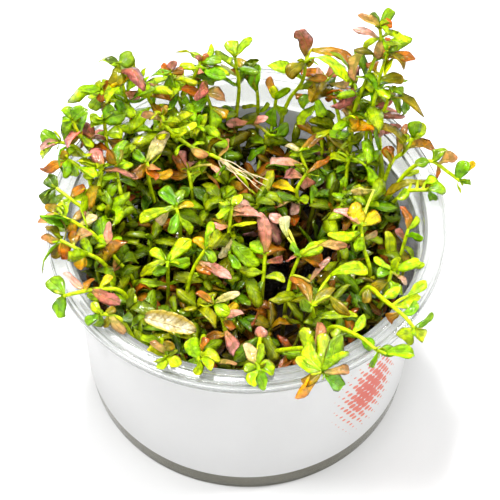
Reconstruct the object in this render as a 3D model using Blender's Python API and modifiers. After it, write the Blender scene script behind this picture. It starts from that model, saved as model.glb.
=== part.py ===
"""Rotala, a small aquarium plant, growing out of the clear plastic cup it was raised in.

The cup stands on the ground plane at the origin, +Z up. Every shoot is one solid: a thin stem with its leaves
drawn out of the stem's sides. Stems and leaves keep clear of each other and of the cup.
"""
import math
import random

import bmesh
import bpy
from mathutils import Matrix, Vector
from mathutils.bvhtree import BVHTree

# Sizes in mm
MM = 0.001

CUP_HEIGHT = 49.0
CUP_BASE_RADIUS = 34.5
CUP_NECK_RADIUS = 35.1
CUP_NECK_HEIGHT = 42.2
CUP_STEP_RADIUS = 36.0
CUP_STEP_HEIGHT = 43.4
CUP_RIM_RADIUS = 40.0
CUP_SKIRT = 1.6
CUP_WALL = 0.6
CUP_FOOT_BEVEL = 1.3
CUP_STEPS = 30

LABEL_BOTTOM = 5.2
LABEL_TOP = 41.6
LABEL_GAP = 0.15
LABEL_THICKNESS = 0.25

GEL_RADIUS = 33.6
GEL_BOTTOM = 0.9
GEL_EDGE_HEIGHT = 12.0
GEL_MIDDLE_HEIGHT = 12.9

STEM_FOOT_HEIGHT = 13.3
STEM_FOOT_RADIUS = 0.5
STEM_TIP_RADIUS = 0.38
NODE_LENGTH = 0.9
LEAST_NODE_GAP = 0.35
NODE_SPAN = 3.4
LONGEST_STRETCH = 20.0
FOOT_RADIUS_SHARE = 0.86
FOOT_LARGEST_RADIUS = 31.0

LEAF_THICKNESS = 0.5
LEAF_WIDEST_AT = 0.58
LEAF_TIP_SHARE = 0.42
PETIOLE_WIDTH = 0.7
PETIOLE_REACH = 3.2

CLEARANCE = 0.25
WALL_GAP = 0.5
STEM_TRIES = 1500
LEAF_TRIES = 400
PLACING_SEED = 8

# The view of the photograph, by which shoots are placed: focal length in its pixels, the middle pixel, and in
# mm the point it looks at and how far away it stands
VIEW_FOCAL = 1710.0
VIEW_MIDDLE = 250.0
VIEW_ELEVATION = math.radians(54.4)
VIEW_AIM = Vector((0.65, 0.0, 37.8))
VIEW_DISTANCE = 350.0
MM_PER_PIXEL = 0.202

# The pale dead leaf: both ends as (across, down) in the photograph and height over the rim, and for each
# cross-section its share of the length, its width and its rise
LOOSE_LEAF_ENDS = ((145, 317, 3), (196, 331, 3))
LOOSE_LEAF_THICKNESS = 1.0
LOOSE_LEAF_FORM = (
    (0.0, 2.4, 0.0), (0.18, 4.0, 0.5), (0.45, 4.2, 0.8), (0.72, 4.4, 0.6), (0.92, 3.2, 0.1), (1.0, 1.6, -0.3),
)

# Each shoot as the photograph shows it: the points of its stem that are seen, as (across, down, mm over the
# rim), and its leaves, as (start across, start down, tip across, tip down, mm wide, mm that the tip rises)
# and, on some, the mm that the blade arches
SHOOTS = {
    "back_left_tall": (
        [(133, 112, 0), (123, 86, 7), (118, 63, 13)],
        [(118, 66, 112, 86, 2.6, -2), (119, 64, 131, 57, 2.4, 2), (118, 63, 106, 58, 1.8, 1),
         (120, 64, 128, 72, 1.8, 0), (124, 92, 140, 97, 1.6, 0), (131, 104, 116, 101, 1.8, 1)],
    ),
    "back_left_low": (
        [(120, 116, 0), (110, 100, 5), (102, 90, 8)],
        [(100, 88, 78, 91, 1.8, 0, 1), (103, 90, 113, 83, 1.6, 1), (102, 92, 100, 102, 1.8, -1),
         (104, 94, 92, 110, 2.0, -2), (112, 102, 102, 112, 1.6, -1), (114, 108, 126, 116, 2.0, 0)],
    ),
    "back_left_fold": (
        [(156, 118, -1), (148, 97, 4), (142, 80, 9)],
        [(140, 77, 127, 89, 1.6, -2, 1), (142, 79, 146, 98, 2.6, -3, 1), (148, 90, 161, 89, 1.8, 0),
         (148, 97, 132, 104, 1.8, -1), (150, 104, 166, 125, 1.8, -2), (152, 106, 180, 112, 2.4, -1)],
    ),
    "back_cluster": (
        [(184, 115, -4), (175, 90, 4), (171, 72, 9)],
        [(170, 70, 163, 65, 1.8, 2), (172, 70, 184, 73, 1.6, 0), (168, 76, 165, 91, 1.8, -3),
         (171, 78, 178, 92, 1.8, -2), (179, 98, 192, 104, 1.6, -1)],
    ),
    "back_sprig": (
        [(194, 112, -4), (190, 90, 2), (196, 72, 8), (201, 62, 10)],
        [(197, 66, 180, 66, 1.6, 0), (201, 60, 223, 60, 1.8, 1, 0.5), (203, 70, 226, 76, 1.6, -1, 0.5),
         (194, 76, 182, 87, 1.4, -2), (200, 78, 213, 84, 1.4, -2)],
    ),
    "back_tan": (
        [(216, 142, -9), (213, 116, -2), (206, 92, 3)],
        [(206, 82, 195, 98, 2.2, -2), (208, 88, 224, 95, 2.4, 0), (202, 92, 184, 88, 2.0, 0),
         (206, 100, 190, 112, 2.4, -1), (215, 104, 204, 120, 2.0, -3), (214, 104, 216, 130, 2.4, -4),
         (216, 104, 226, 118, 1.8, -3), (204, 108, 184, 116, 1.6, -1)],
    ),
    "seedling": (
        [(236, 122, -9), (239, 88, 1), (235, 57, 11)],
        [(235, 57, 229, 39, 2.2, 2), (235, 57, 252, 37, 1.6, 2)],
    ),
    "bud": (
        [(257, 124, -13), (258, 104, -7), (257, 90, -2)],
        [(257, 90, 243, 62, 2.0, 6), (258, 90, 257, 67, 1.8, 6)],
    ),
    "back_fold": (
        [(270, 140, -13), (273, 120, -8), (276, 99, -2)],
        [(277, 98, 288, 86, 1.8, 1), (275, 101, 267, 88, 1.8, 1), (274, 106, 271, 126, 2.4, -4),
         (277, 104, 283, 116, 1.6, -3), (271, 132, 290, 124, 1.6, 0)],
    ),
    "pink_top": (
        [(281, 124, -9), (289, 100, -3), (302, 82, 4), (306, 62, 9)],
        [(306, 56, 297, 28, 2.6, 8), (305, 62, 288, 78, 2.2, -3, 1), (308, 58, 315, 66, 1.6, 0),
         (311, 50, 352, 66, 2.2, -2, 1.2), (314, 58, 348, 74, 2.2, -2, 1)],
    ),
    "pink_red": (
        [(340, 138, -6), (336, 106, 0), (326, 82, 5)],
        [(322, 72, 300, 73, 1.8, 0, 0.6), (324, 76, 317, 86, 2.2, -2), (326, 76, 345, 68, 2.4, 1),
         (326, 78, 312, 66, 1.6, 1), (332, 88, 343, 100, 1.6, -2), (334, 98, 326, 102, 1.4, -1)],
    ),
    "back_mass": (
        [(322, 150, -10), (318, 120, -4), (316, 90, 2)],
        [(316, 88, 308, 78, 1.6, 2), (316, 92, 331, 93, 2.0, 1), (315, 96, 299, 106, 2.0, -2),
         (317, 98, 325, 117, 2.2, -3), (316, 104, 303, 123, 1.8, -4), (318, 112, 335, 118, 1.8, -1),
         (320, 126, 333, 135, 1.6, -1)],
    ),
    "tall_right": (
        [(350, 150, -5), (354, 112, 4), (367, 78, 12), (380, 44, 20), (380, 28, 24)],
        [(378, 26, 359, 13, 1.6, 3), (379, 25, 372, 11, 1.4, 3), (380, 24, 391, 8, 1.8, 3),
         (382, 26, 393, 23, 1.8, 1), (383, 41, 376, 57, 1.6, -4), (364, 52, 354, 78, 2.6, -6)],
    ),
    "tall_right_two": (
        [(366, 142, -3), (374, 102, 7), (380, 76, 12), (388, 53, 18)],
        [(392, 59, 414, 58, 1.8, 0), (390, 58, 406, 68, 1.4, -2), (380, 79, 402, 79, 2.0, 0),
         (376, 72, 370, 60, 1.8, 2), (378, 86, 366, 90, 1.6, -1), (377, 92, 362, 80, 1.8, 1)],
    ),
    "droop_right": (
        [(379, 130, -1), (386, 106, 5), (390, 90, 9)],
        [(391, 86, 405, 97, 1.8, -1, 0.6), (401, 94, 404, 118, 1.4, -6), (392, 96, 402, 113, 1.8, -4),
         (386, 102, 395, 93, 1.6, 1)],
    ),
    "tan_round": (
        [(348, 160, -7), (349, 128, 0), (352, 100, 4), (353, 83, 9)],
        [(353, 86, 352, 99, 1.8, -3), (352, 92, 344, 105, 1.4, -3), (351, 102, 359, 110, 1.6, -1),
         (348, 122, 345, 106, 2.6, 2), (351, 126, 359, 121, 2.2, 0), (350, 134, 331, 137, 2.0, -1),
         (350, 132, 372, 128, 2.0, 0)],
    ),
    "salmon": (
        [(370, 154, -5), (370, 128, 1), (367, 108, 4)],
        [(367, 107, 395, 94, 1.8, 2, 0.6), (365, 108, 352, 104, 1.8, 1), (371, 116, 397, 114, 2.0, 1),
         (370, 120, 366, 112, 1.6, 1), (371, 126, 381, 138, 2.4, -2), (371, 128, 385, 132, 1.6, -1)],
    ),
    "right_top_pair": (
        [(382, 188, -8), (392, 162, -1), (404, 152, 2), (413, 138, 5)],
        [(413, 138, 416, 119, 2.2, 4), (414, 138, 424, 122, 2.0, 3), (396, 152, 405, 124, 1.6, 5),
         (411, 141, 400, 138, 1.4, 0), (392, 160, 386, 147, 1.8, 2), (391, 165, 381, 150, 1.6, 1)],
    ),
    "curl": (
        [(345, 186, -10), (347, 168, -6), (350, 157, -3)],
        [(338, 152, 366, 130, 1.4, 2, 1), (346, 152, 329, 136, 1.6, 1), (342, 158, 328, 153, 1.6, 0),
         (351, 162, 374, 156, 2.2, 1, 1), (366, 166, 382, 195, 2.0, -3, 0.6), (348, 168, 336, 170, 1.8, -1),
         (356, 152, 374, 146, 1.6, 2), (347, 176, 340, 198, 1.8, -3)],
    ),
    "right_long": (
        [(386, 200, -9), (408, 171, -1), (430, 161, 3), (448, 172, 2), (460, 181, 1)],
        [(434, 160, 448, 150, 2.0, 3), (440, 159, 458, 163, 2.4, 2), (459, 178, 465, 162, 2.2, 3),
         (464, 170, 476, 163, 1.6, 2), (429, 160, 417, 163, 1.4, 1)],
    ),
    "right_mid": (
        [(390, 208, -8), (406, 192, 0), (428, 190, 2)],
        [(428, 187, 445, 187, 2.2, 1), (412, 183, 430, 188, 1.6, 0), (418, 181, 384, 185, 1.8, -1),
         (408, 191, 398, 197, 2.0, 0), (425, 183, 439, 179, 1.6, 1)],
    ),
    "dark_round": (
        [(314, 204, -14), (310, 180, -9), (300, 152, -4)],
        [(314, 188, 320, 169, 2.6, 2), (312, 194, 330, 186, 1.4, 1), (310, 182, 316, 205, 1.8, -2),
         (300, 158, 288, 155, 1.6, 0), (303, 147, 321, 136, 1.6, 1), (303, 151, 321, 148, 1.6, 0)],
    ),
    "pink_big": (
        [(299, 210, -14), (297, 190, -9), (306, 174, -6)],
        [(301, 164, 270, 170, 2.0, 0, 0.6), (304, 176, 282, 176, 2.0, -1), (302, 174, 307, 188, 2.6, -2),
         (298, 192, 270, 185, 1.8, 0, 0.8), (298, 196, 272, 201, 1.6, 0), (298, 198, 310, 202, 1.6, -1),
         (299, 200, 292, 214, 1.6, -1)],
    ),
    "back_low": (
        [(258, 172, -15), (264, 150, -12), (270, 136, -9)],
        [(276, 136, 288, 125, 1.6, 1), (264, 146, 245, 156, 1.8, -1), (252, 124, 224, 120, 1.4, 1),
         (254, 124, 264, 118, 1.8, 1), (262, 142, 248, 132, 1.8, 0), (268, 142, 296, 142, 1.6, 0),
         (264, 150, 284, 154, 1.6, -1)],
    ),
    "cutting": (
        [(247, 188, -8), (236, 172, -4), (218, 158, -1), (190, 146, 2), (168, 128, 6), (162, 115, 8)],
        [(162, 115, 168, 106, 1.6, 2), (164, 122, 140, 112, 1.4, 0), (171, 129, 197, 126, 1.4, 0),
         (191, 147, 207, 158, 1.6, -2)],
    ),
    "middle_pink": (
        [(193, 202, -10), (191, 184, -6), (188, 170, -4)],
        [(187, 169, 182, 152, 1.8, 2), (188, 168, 194, 157, 1.6, 1), (186, 176, 172, 177, 2.2, -1),
         (190, 184, 207, 163, 1.8, 1, 0.5), (192, 188, 181, 196, 1.8, -1), (187, 174, 172, 160, 1.8, 1),
         (212, 165, 219, 177, 1.4, -1), (196, 188, 212, 200, 2.0, -1)],
    ),
    "pale_patterned": (
        [(150, 186, -4), (148, 172, -1), (146, 163, 1)],
        [(146, 161, 165, 131, 2.2, 4), (146, 162, 134, 151, 2.0, 1), (147, 167, 131, 176, 2.4, -2),
         (148, 168, 153, 182, 2.0, -3), (148, 166, 159, 173, 1.4, -1), (150, 176, 171, 172, 1.8, -1),
         (148, 171, 163, 152, 1.6, 2)],
    ),
    "olive_left": (
        [(123, 200, -2), (118, 179, 1), (116, 166, 3)],
        [(115, 164, 118, 149, 2.0, 2), (116, 164, 105, 151, 1.8, 1), (117, 169, 110, 178, 1.6, -2),
         (118, 172, 131, 160, 1.8, 1), (119, 180, 136, 187, 1.6, -1), (120, 183, 109, 198, 2.2, -2),
         (117, 161, 125, 140, 1.6, 3)],
    ),
    "pink_left": (
        [(100, 194, 0), (101, 177, 2), (103, 166, 4)],
        [(104, 162, 92, 148, 2.2, 1), (104, 163, 105, 151, 1.6, 1), (102, 170, 81, 160, 1.4, 1),
         (102, 172, 85, 182, 1.4, -1), (101, 178, 119, 182, 1.4, -1)],
    ),
    "left_mass": (
        [(110, 154, 0), (106, 134, 4), (104, 120, 7)],
        [(105, 122, 91, 128, 2.2, 0), (106, 128, 96, 141, 2.2, -2), (105, 120, 113, 107, 2.0, 2),
         (104, 120, 121, 118, 2.2, 1), (104, 118, 88, 118, 1.8, 1), (107, 134, 123, 136, 2.4, -1),
         (94, 138, 84, 121, 2.4, 2), (107, 140, 121, 145, 1.8, -1)],
    ),
    "left_outer": (
        [(94, 156, 0), (79, 134, 6), (72, 120, 9)],
        [(72, 118, 63, 107, 2.0, 1), (73, 118, 85, 107, 2.2, 2), (74, 122, 61, 125, 1.8, 0),
         (75, 128, 66, 143, 1.8, -3), (80, 136, 92, 146, 1.6, -1)],
    ),
    "left_pair": (
        [(90, 172, 0), (77, 148, 3), (60, 142, 4)],
        [(57, 140, 42, 133, 2.6, 1), (58, 146, 40, 149, 1.6, 0), (75, 145, 79, 158, 1.8, -2),
         (76, 149, 64, 155, 1.6, -1), (72, 144, 66, 131, 1.4, 2)],
    ),
    "left_brown": (
        [(91, 186, -1), (79, 167, 2), (67, 159, 3)],
        [(62, 160, 40, 171, 1.8, -1), (68, 160, 64, 177, 2.4, -3), (70, 161, 75, 175, 2.0, -3),
         (66, 158, 63, 150, 1.4, 2), (80, 168, 95, 177, 1.6, -1)],
    ),
    "left_dark": (
        [(94, 218, -1), (73, 201, 3), (56, 188, 4)],
        [(54, 186, 46, 177, 2.4, 1), (54, 189, 42, 202, 2.2, -2), (62, 194, 48, 210, 1.8, -2),
         (71, 199, 85, 186, 1.4, 1), (74, 202, 91, 195, 1.8, 0), (80, 206, 91, 221, 1.6, -2),
         (70, 200, 60, 212, 1.8, -2)],
    ),
    "left_tan": (
        [(100, 242, -1), (79, 225, 3), (60, 216, 4)],
        [(58, 214, 37, 217, 1.8, 0), (60, 217, 62, 237, 2.4, -3), (64, 217, 60, 203, 2.0, 1),
         (72, 221, 85, 211, 1.6, 1), (60, 216, 46, 203, 1.6, 1), (80, 226, 97, 218, 1.4, 0),
         (70, 221, 75, 233, 1.6, -2)],
    ),
    "left_low": (
        [(106, 266, -2), (81, 251, 3), (60, 240, 4)],
        [(56, 238, 41, 238, 1.6, 0), (58, 240, 46, 224, 1.4, 1), (62, 244, 66, 260, 2.4, -2),
         (76, 241, 91, 232, 1.8, 2), (72, 246, 73, 231, 2.0, 1), (60, 243, 52, 257, 1.4, -3),
         (84, 253, 78, 269, 2.2, -2), (90, 255, 80, 236, 1.8, 2)],
    ),
    "left_over": (
        [(124, 294, -1), (100, 289, 2), (76, 293, 4), (64, 296, 3)],
        [(64, 292, 48, 279, 2.6, 0), (63, 299, 58, 317, 2.6, -4), (84, 287, 65, 271, 1.4, 1),
         (84, 289, 93, 278, 1.6, 1), (92, 295, 121, 301, 2.2, -1), (100, 288, 111, 275, 1.4, 1),
         (104, 291, 90, 301, 1.8, -1)],
    ),
    "left_inner": (
        [(132, 278, -8), (116, 259, -3), (108, 246, 0)],
        [(108, 246, 96, 235, 1.6, 1), (110, 247, 119, 237, 1.6, 1), (112, 252, 97, 263, 1.8, -1),
         (114, 257, 119, 272, 1.4, -3), (109, 244, 113, 226, 1.8, 1), (120, 264, 140, 256, 1.8, -1)],
    ),
    "lower_left": (
        [(126, 326, -1), (114, 316, 2), (100, 314, 3)],
        [(100, 314, 84, 322, 1.8, -1), (102, 314, 94, 326, 2.0, -3), (106, 315, 112, 306, 1.6, 1),
         (110, 318, 122, 334, 1.8, -3), (100, 312, 92, 303, 1.4, 1), (112, 315, 104, 325, 1.4, -3),
         (118, 322, 133, 318, 1.8, 0)],
    ),
    "middle_fold": (
        [(181, 244, -9), (180, 224, -4), (176, 206, -1)],
        [(174, 204, 160, 189, 2.2, 1), (176, 204, 183, 189, 2.0, 1), (170, 208, 139, 221, 1.6, -2, 0.6),
         (168, 211, 159, 222, 1.8, -2), (179, 216, 191, 234, 1.4, -3), (178, 214, 168, 232, 1.6, -4)],
    ),
    "middle_cross": (
        [(170, 310, -16), (168, 285, -9), (168, 262, -3)],
        [(166, 260, 141, 275, 1.6, -1, 0.6), (169, 260, 190, 238, 2.6, 1), (167, 261, 152, 250, 1.4, 1),
         (169, 262, 191, 263, 1.6, -1), (167, 284, 129, 286, 1.4, 1), (167, 268, 153, 271, 1.8, -3)],
    ),
    "middle_cross_two": (
        [(187, 316, -16), (187, 292, -9), (194, 268, -4), (205, 250, 0)],
        [(205, 249, 196, 238, 1.4, 1), (206, 251, 214, 262, 1.4, -1), (200, 262, 232, 278, 1.8, -1),
         (194, 268, 209, 274, 1.6, 0), (206, 249, 210, 221, 1.4, 3)],
    ),
    "middle_pale": (
        [(233, 284, -10), (230, 258, -5), (229, 232, 0), (232, 206, 4)],
        [(227, 232, 221, 259, 1.6, -3), (233, 204, 241, 195, 1.6, 1), (231, 238, 259, 265, 2.8, -3),
         (232, 210, 250, 204, 1.8, 0), (232, 216, 260, 213, 1.8, 0), (229, 254, 240, 268, 1.6, -2)],
    ),
    "middle_purple": (
        [(262, 294, -12), (264, 272, -7), (265, 254, -4)],
        [(265, 250, 263, 214, 2.2, 5), (264, 254, 252, 240, 2.4, 1), (265, 262, 281, 257, 1.4, -2),
         (263, 272, 240, 270, 1.4, 1), (263, 280, 253, 294, 1.4, -2)],
    ),
    "middle_right": (
        [(286, 304, -12), (291, 278, -7), (299, 257, -3)],
        [(298, 254, 322, 246, 2.0, 1, 0.8), (298, 258, 286, 257, 2.0, -1), (300, 256, 290, 243, 1.6, 1),
         (302, 257, 323, 264, 2.6, -2), (318, 246, 346, 246, 1.6, 1), (284, 222, 270, 216, 1.8, 1),
         (288, 238, 284, 216, 1.8, 2)],
    ),
    "right_yellow": (
        [(370, 274, -10), (364, 248, -5), (361, 226, -1)],
        [(374, 190, 352, 197, 1.8, 1), (361, 228, 355, 202, 2.6, 3), (363, 226, 381, 213, 2.2, 0),
         (360, 224, 337, 208, 1.4, 2), (361, 232, 330, 240, 1.8, -1), (362, 238, 357, 250, 1.8, -4)],
    ),
    "v_shape": (
        [(318, 330, -10), (314, 316, -5), (312, 306, -2)],
        [(311, 306, 292, 276, 1.8, 2), (314, 306, 331, 286, 1.8, 2), (310, 312, 300, 300, 1.6, 0),
         (316, 318, 355, 313, 1.4, 3), (330, 296, 352, 315, 1.8, -1), (330, 276, 368, 270, 2.2, 1, 1.2)],
    ),
    "right_wall": (
        [(398, 262, -12), (404, 244, -8), (408, 230, -5)],
        [(408, 228, 404, 206, 1.6, 2), (407, 236, 421, 240, 1.4, 0), (390, 262, 388, 233, 1.8, 5),
         (406, 240, 396, 228, 1.6, 0), (404, 246, 421, 262, 1.4, -2), (402, 250, 408, 262, 1.6, -2)],
    ),
    "right_cluster": (
        [(382, 302, -8), (388, 284, -3), (392, 270, 0)],
        [(392, 268, 375, 258, 1.6, 1), (393, 268, 400, 258, 1.8, 2), (394, 270, 420, 262, 1.8, 1),
         (394, 272, 426, 268, 1.6, 0), (392, 274, 376, 272, 1.8, 0), (390, 278, 372, 292, 2.0, -1),
         (391, 280, 402, 296, 1.6, -2), (398, 276, 407, 284, 1.4, 0)],
    ),
    "right_over": (
        [(366, 288, -4), (384, 300, 1), (404, 316, 3), (414, 328, 2)],
        [(415, 330, 429, 338, 2.4, -2), (412, 330, 398, 342, 2.6, -3), (404, 314, 420, 306, 1.6, 0),
         (392, 306, 420, 296, 1.6, 0), (400, 312, 388, 324, 1.6, -2), (382, 298, 400, 290, 1.6, 1),
         (374, 290, 366, 304, 1.8, -2), (408, 296, 426, 284, 1.4, 1)],
    ),
    "right_front_over": (
        [(330, 328, -3), (356, 335, 1), (378, 351, 2)],
        [(378, 352, 396, 352, 2.0, 0), (386, 354, 413, 354, 2.2, -1), (362, 340, 375, 348, 2.0, -1),
         (352, 334, 368, 318, 1.6, 2), (344, 331, 330, 336, 1.4, 0)],
    ),
    "front_right_cluster": (
        [(306, 348, -5), (312, 360, 1), (322, 372, 3)],
        [(320, 372, 302, 345, 2.2, 2), (322, 370, 325, 334, 2.4, 3), (324, 372, 340, 336, 2.4, 3),
         (320, 374, 296, 362, 2.0, 0), (318, 376, 302, 382, 1.8, -2), (326, 374, 350, 368, 1.6, 0),
         (326, 376, 344, 388, 2.6, -4), (314, 366, 318, 324, 2.0, 4)],
    ),
    "front_shoot": (
        [(262, 330, -8), (258, 352, -2), (258, 366, 1)],
        [(257, 364, 247, 342, 2.2, 2), (258, 366, 264, 344, 1.8, 3), (257, 368, 246, 368, 1.6, 0),
         (259, 368, 273, 372, 2.2, -1), (258, 370, 252, 384, 2.0, -2), (259, 371, 264, 386, 1.6, -2),
         (262, 340, 262, 328, 1.8, 3)],
    ),
    "front_row_left": (
        [(162, 340, -6), (164, 350, 1), (167, 357, 3)],
        [(165, 357, 148, 350, 2.0, 0), (166, 358, 160, 370, 1.8, -1), (167, 358, 178, 370, 2.0, -1),
         (165, 354, 152, 340, 1.6, 2), (164, 352, 176, 344, 1.8, 2), (160, 346, 142, 338, 1.8, 2),
         (150, 340, 124, 345, 1.6, -1)],
    ),
    "front_row_right": (
        [(204, 336, -8), (200, 352, -2), (198, 360, 0)],
        [(198, 358, 188, 340, 2.6, 2), (198, 360, 186, 370, 1.8, -1), (199, 360, 196, 373, 1.8, -1),
         (200, 360, 212, 368, 1.8, 0), (201, 356, 220, 358, 1.8, 1), (200, 352, 206, 338, 1.4, 2)],
    ),
    "front_middle": (
        [(226, 334, -10), (222, 318, -5), (214, 304, -2)],
        [(213, 300, 240, 292, 1.4, 1, 1.2), (212, 304, 230, 312, 2.0, -1), (222, 316, 244, 312, 1.4, 1),
         (226, 318, 236, 304, 1.6, 2), (224, 322, 234, 330, 1.6, -1), (228, 328, 239, 356, 1.8, -2),
         (226, 334, 206, 340, 1.6, 0)],
    ),
}
PLACED_FIRST = ("salmon", "cutting", "front_right_cluster")


def start_clean():
    """Empty the scene and make the collection that holds the plant and its cup."""
    for thing in list(bpy.data.objects):
        bpy.data.objects.remove(thing)
    plant = bpy.data.collections.new("rotala")
    bpy.context.scene.collection.children.link(plant)
    return plant


def material(name, colour, roughness):
    """A Principled material in one colour."""
    made = bpy.data.materials.new(name)
    made.use_nodes = True
    shader = made.node_tree.nodes["Principled BSDF"]
    shader.inputs["Base Color"].default_value = (*colour, 1.0)
    shader.inputs["Roughness"].default_value = roughness
    return made


def add_object(name, mesh, look, collection):
    """Put a mesh in the collection under its own name, in one material."""
    thing = bpy.data.objects.new(name, mesh)
    mesh.materials.append(look)
    collection.objects.link(thing)
    return thing


def turned(name, profile, look, collection, closed):
    """Turn a profile of (radius, height) in mm once about Z; its outer side runs downwards."""
    mesh = bpy.data.meshes.new(name)
    points = [(r * MM, 0.0, z * MM) for r, z in profile]
    edges = [(i, i + 1) for i in range(len(points) - 1)]
    if closed:
        edges.append((len(points) - 1, 0))
    mesh.from_pydata(points, edges, [])
    thing = add_object(name, mesh, look, collection)
    screw = thing.modifiers.new("turn", "SCREW")
    screw.steps = CUP_STEPS
    screw.render_steps = CUP_STEPS
    screw.use_merge_vertices = True
    screw.merge_threshold = 0.00001
    return thing


def make_cup(collection):
    """Thin drawn cup: flat base, upright wall, stacking step, flat flange and short skirt."""
    look = material("clear_plastic", (0.86, 0.87, 0.87), 0.12)
    skirt_foot = CUP_HEIGHT - CUP_SKIRT
    under_flange = CUP_HEIGHT - CUP_WALL
    round_off = CUP_WALL / 2
    inside = [
        (0.0, CUP_WALL), (CUP_BASE_RADIUS - CUP_FOOT_BEVEL - CUP_WALL / 2, CUP_WALL),
        (CUP_BASE_RADIUS - CUP_WALL, CUP_FOOT_BEVEL + CUP_WALL / 2),
        (CUP_NECK_RADIUS - CUP_WALL, CUP_NECK_HEIGHT + round_off),
        (CUP_STEP_RADIUS - CUP_WALL, CUP_STEP_HEIGHT + round_off),
        (CUP_STEP_RADIUS - CUP_WALL, CUP_HEIGHT - round_off), (CUP_STEP_RADIUS - round_off, CUP_HEIGHT),
        (CUP_RIM_RADIUS - round_off, CUP_HEIGHT), (CUP_RIM_RADIUS, CUP_HEIGHT - round_off),
        (CUP_RIM_RADIUS, skirt_foot),
    ]
    outside = [
        (CUP_RIM_RADIUS - CUP_WALL, skirt_foot), (CUP_RIM_RADIUS - CUP_WALL, under_flange),
        (CUP_STEP_RADIUS, under_flange), (CUP_STEP_RADIUS, CUP_STEP_HEIGHT),
        (CUP_NECK_RADIUS, CUP_NECK_HEIGHT),
        (CUP_BASE_RADIUS, CUP_FOOT_BEVEL), (CUP_BASE_RADIUS - CUP_FOOT_BEVEL, 0.0), (0.0, 0.0),
    ]
    return turned("cup", inside + outside, look, collection, closed=False)


def make_label(collection):
    """Film sleeve wrapped once round the wall, between the base and the stacking step."""
    look = material("label_film", (0.88, 0.88, 0.88), 0.4)
    draft = (CUP_NECK_RADIUS - CUP_BASE_RADIUS) / (CUP_NECK_HEIGHT - CUP_FOOT_BEVEL)
    low = CUP_BASE_RADIUS + LABEL_GAP + draft * (LABEL_BOTTOM - CUP_FOOT_BEVEL)
    high = CUP_BASE_RADIUS + LABEL_GAP + draft * (LABEL_TOP - CUP_FOOT_BEVEL)
    profile = [
        (high, LABEL_TOP), (high + LABEL_THICKNESS, LABEL_TOP),
        (low + LABEL_THICKNESS, LABEL_BOTTOM), (low, LABEL_BOTTOM),
    ]
    return turned("label", profile, look, collection, closed=True)


def make_growth_medium(collection):
    """Low disc of set culture medium in the bottom of the cup."""
    look = material("culture_gel", (0.30, 0.28, 0.17), 0.3)
    profile = [
        (0.0, GEL_MIDDLE_HEIGHT), (GEL_RADIUS * 0.6, (GEL_MIDDLE_HEIGHT + GEL_EDGE_HEIGHT) / 2),
        (GEL_RADIUS, GEL_EDGE_HEIGHT), (GEL_RADIUS - 0.6, GEL_BOTTOM + 1.2), (GEL_RADIUS - 1.4, GEL_BOTTOM),
        (0.0, GEL_BOTTOM),
    ]
    return turned("growth_medium", profile, look, collection, closed=False)


def seen_at(across, down, over_rim):
    """The point at a height over the rim that the photograph shows at a pixel."""
    back = Vector((0.0, -math.cos(VIEW_ELEVATION), math.sin(VIEW_ELEVATION)))
    up = Vector((0.0, math.sin(VIEW_ELEVATION), math.cos(VIEW_ELEVATION)))
    eye = VIEW_AIM + back * VIEW_DISTANCE
    aside = Vector(((across - VIEW_MIDDLE) / VIEW_FOCAL, 0.0, 0.0))
    ray = aside + up * ((VIEW_MIDDLE - down) / VIEW_FOCAL) - back
    return eye + ray * ((CUP_HEIGHT + over_rim - eye.z) / ray.z)


def smooth_line(points):
    """Close-set points along a smooth line through the given ones, and the length run at each."""
    ends = [points[0] * 2 - points[1]] + points + [points[-1] * 2 - points[-2]]
    line = []
    for i in range(1, len(ends) - 2):
        p0, p1, p2, p3 = ends[i - 1:i + 3]
        for k in range(12):
            t = k / 12
            straight = 2 * p1 + (p2 - p0) * t
            bend = (2 * p0 - 5 * p1 + 4 * p2 - p3) * t * t + (3 * p1 - p0 - 3 * p2 + p3) * t ** 3
            line.append((straight + bend) * 0.5)
    line.append(points[-1])
    run = [0.0]
    for a, b in zip(line, line[1:]):
        run.append(run[-1] + (b - a).length)
    return line, run


def point_at(line, run, distance):
    """The point a distance along the line."""
    j = 0
    while j < len(run) - 2 and run[j + 1] < distance:
        j += 1
    share = (distance - run[j]) / max(run[j + 1] - run[j], 1e-9)
    return line[j].lerp(line[j + 1], min(max(share, 0.0), 1.0))


def height_beside(stem, across, down):
    """Height over the rim of the stem where it passes nearest to a pixel."""
    best = None
    for (u0, v0, h0), (u1, v1, h1) in zip(stem, stem[1:]):
        du = u1 - u0
        dv = v1 - v0
        share = min(max(((across - u0) * du + (down - v0) * dv) / (du * du + dv * dv), 0.0), 1.0)
        gap = math.hypot(u0 + du * share - across, v0 + dv * share - down)
        if best is None or gap < best[0]:
            best = (gap, h0 + (h1 - h0) * share)
    return best[1]


def find_nodes(stem, leaves, line, run):
    """Distances along the stem at which its leaves start, and for each leaf the number of its node."""
    length = run[-1]
    wanted = []
    for n, leaf in enumerate(leaves):
        start = seen_at(leaf[0], leaf[1], height_beside(stem, leaf[0], leaf[1]))
        nearest = min(range(len(line)), key=lambda i: (line[i] - start).length)
        wanted.append((min(max(run[nearest], NODE_LENGTH), length - NODE_LENGTH), n))
    groups = []
    for distance, n in sorted(wanted):
        if groups and distance - groups[-1][0][0] < NODE_SPAN and len(groups[-1]) < 3:
            groups[-1].append((distance, n))
        else:
            groups.append([(distance, n)])
    places = []
    step = NODE_LENGTH + LEAST_NODE_GAP
    for group in groups:
        middle = sum(distance for distance, n in group) / len(group)
        places.append(max(middle, places[-1] + step) if places else middle)
    ceiling = length - step + NODE_LENGTH / 2
    for k in reversed(range(len(places))):
        places[k] = min(places[k], ceiling)
        ceiling = places[k] - step
    return places, {n: k for k, group in enumerate(groups) for distance, n in group}


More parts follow.
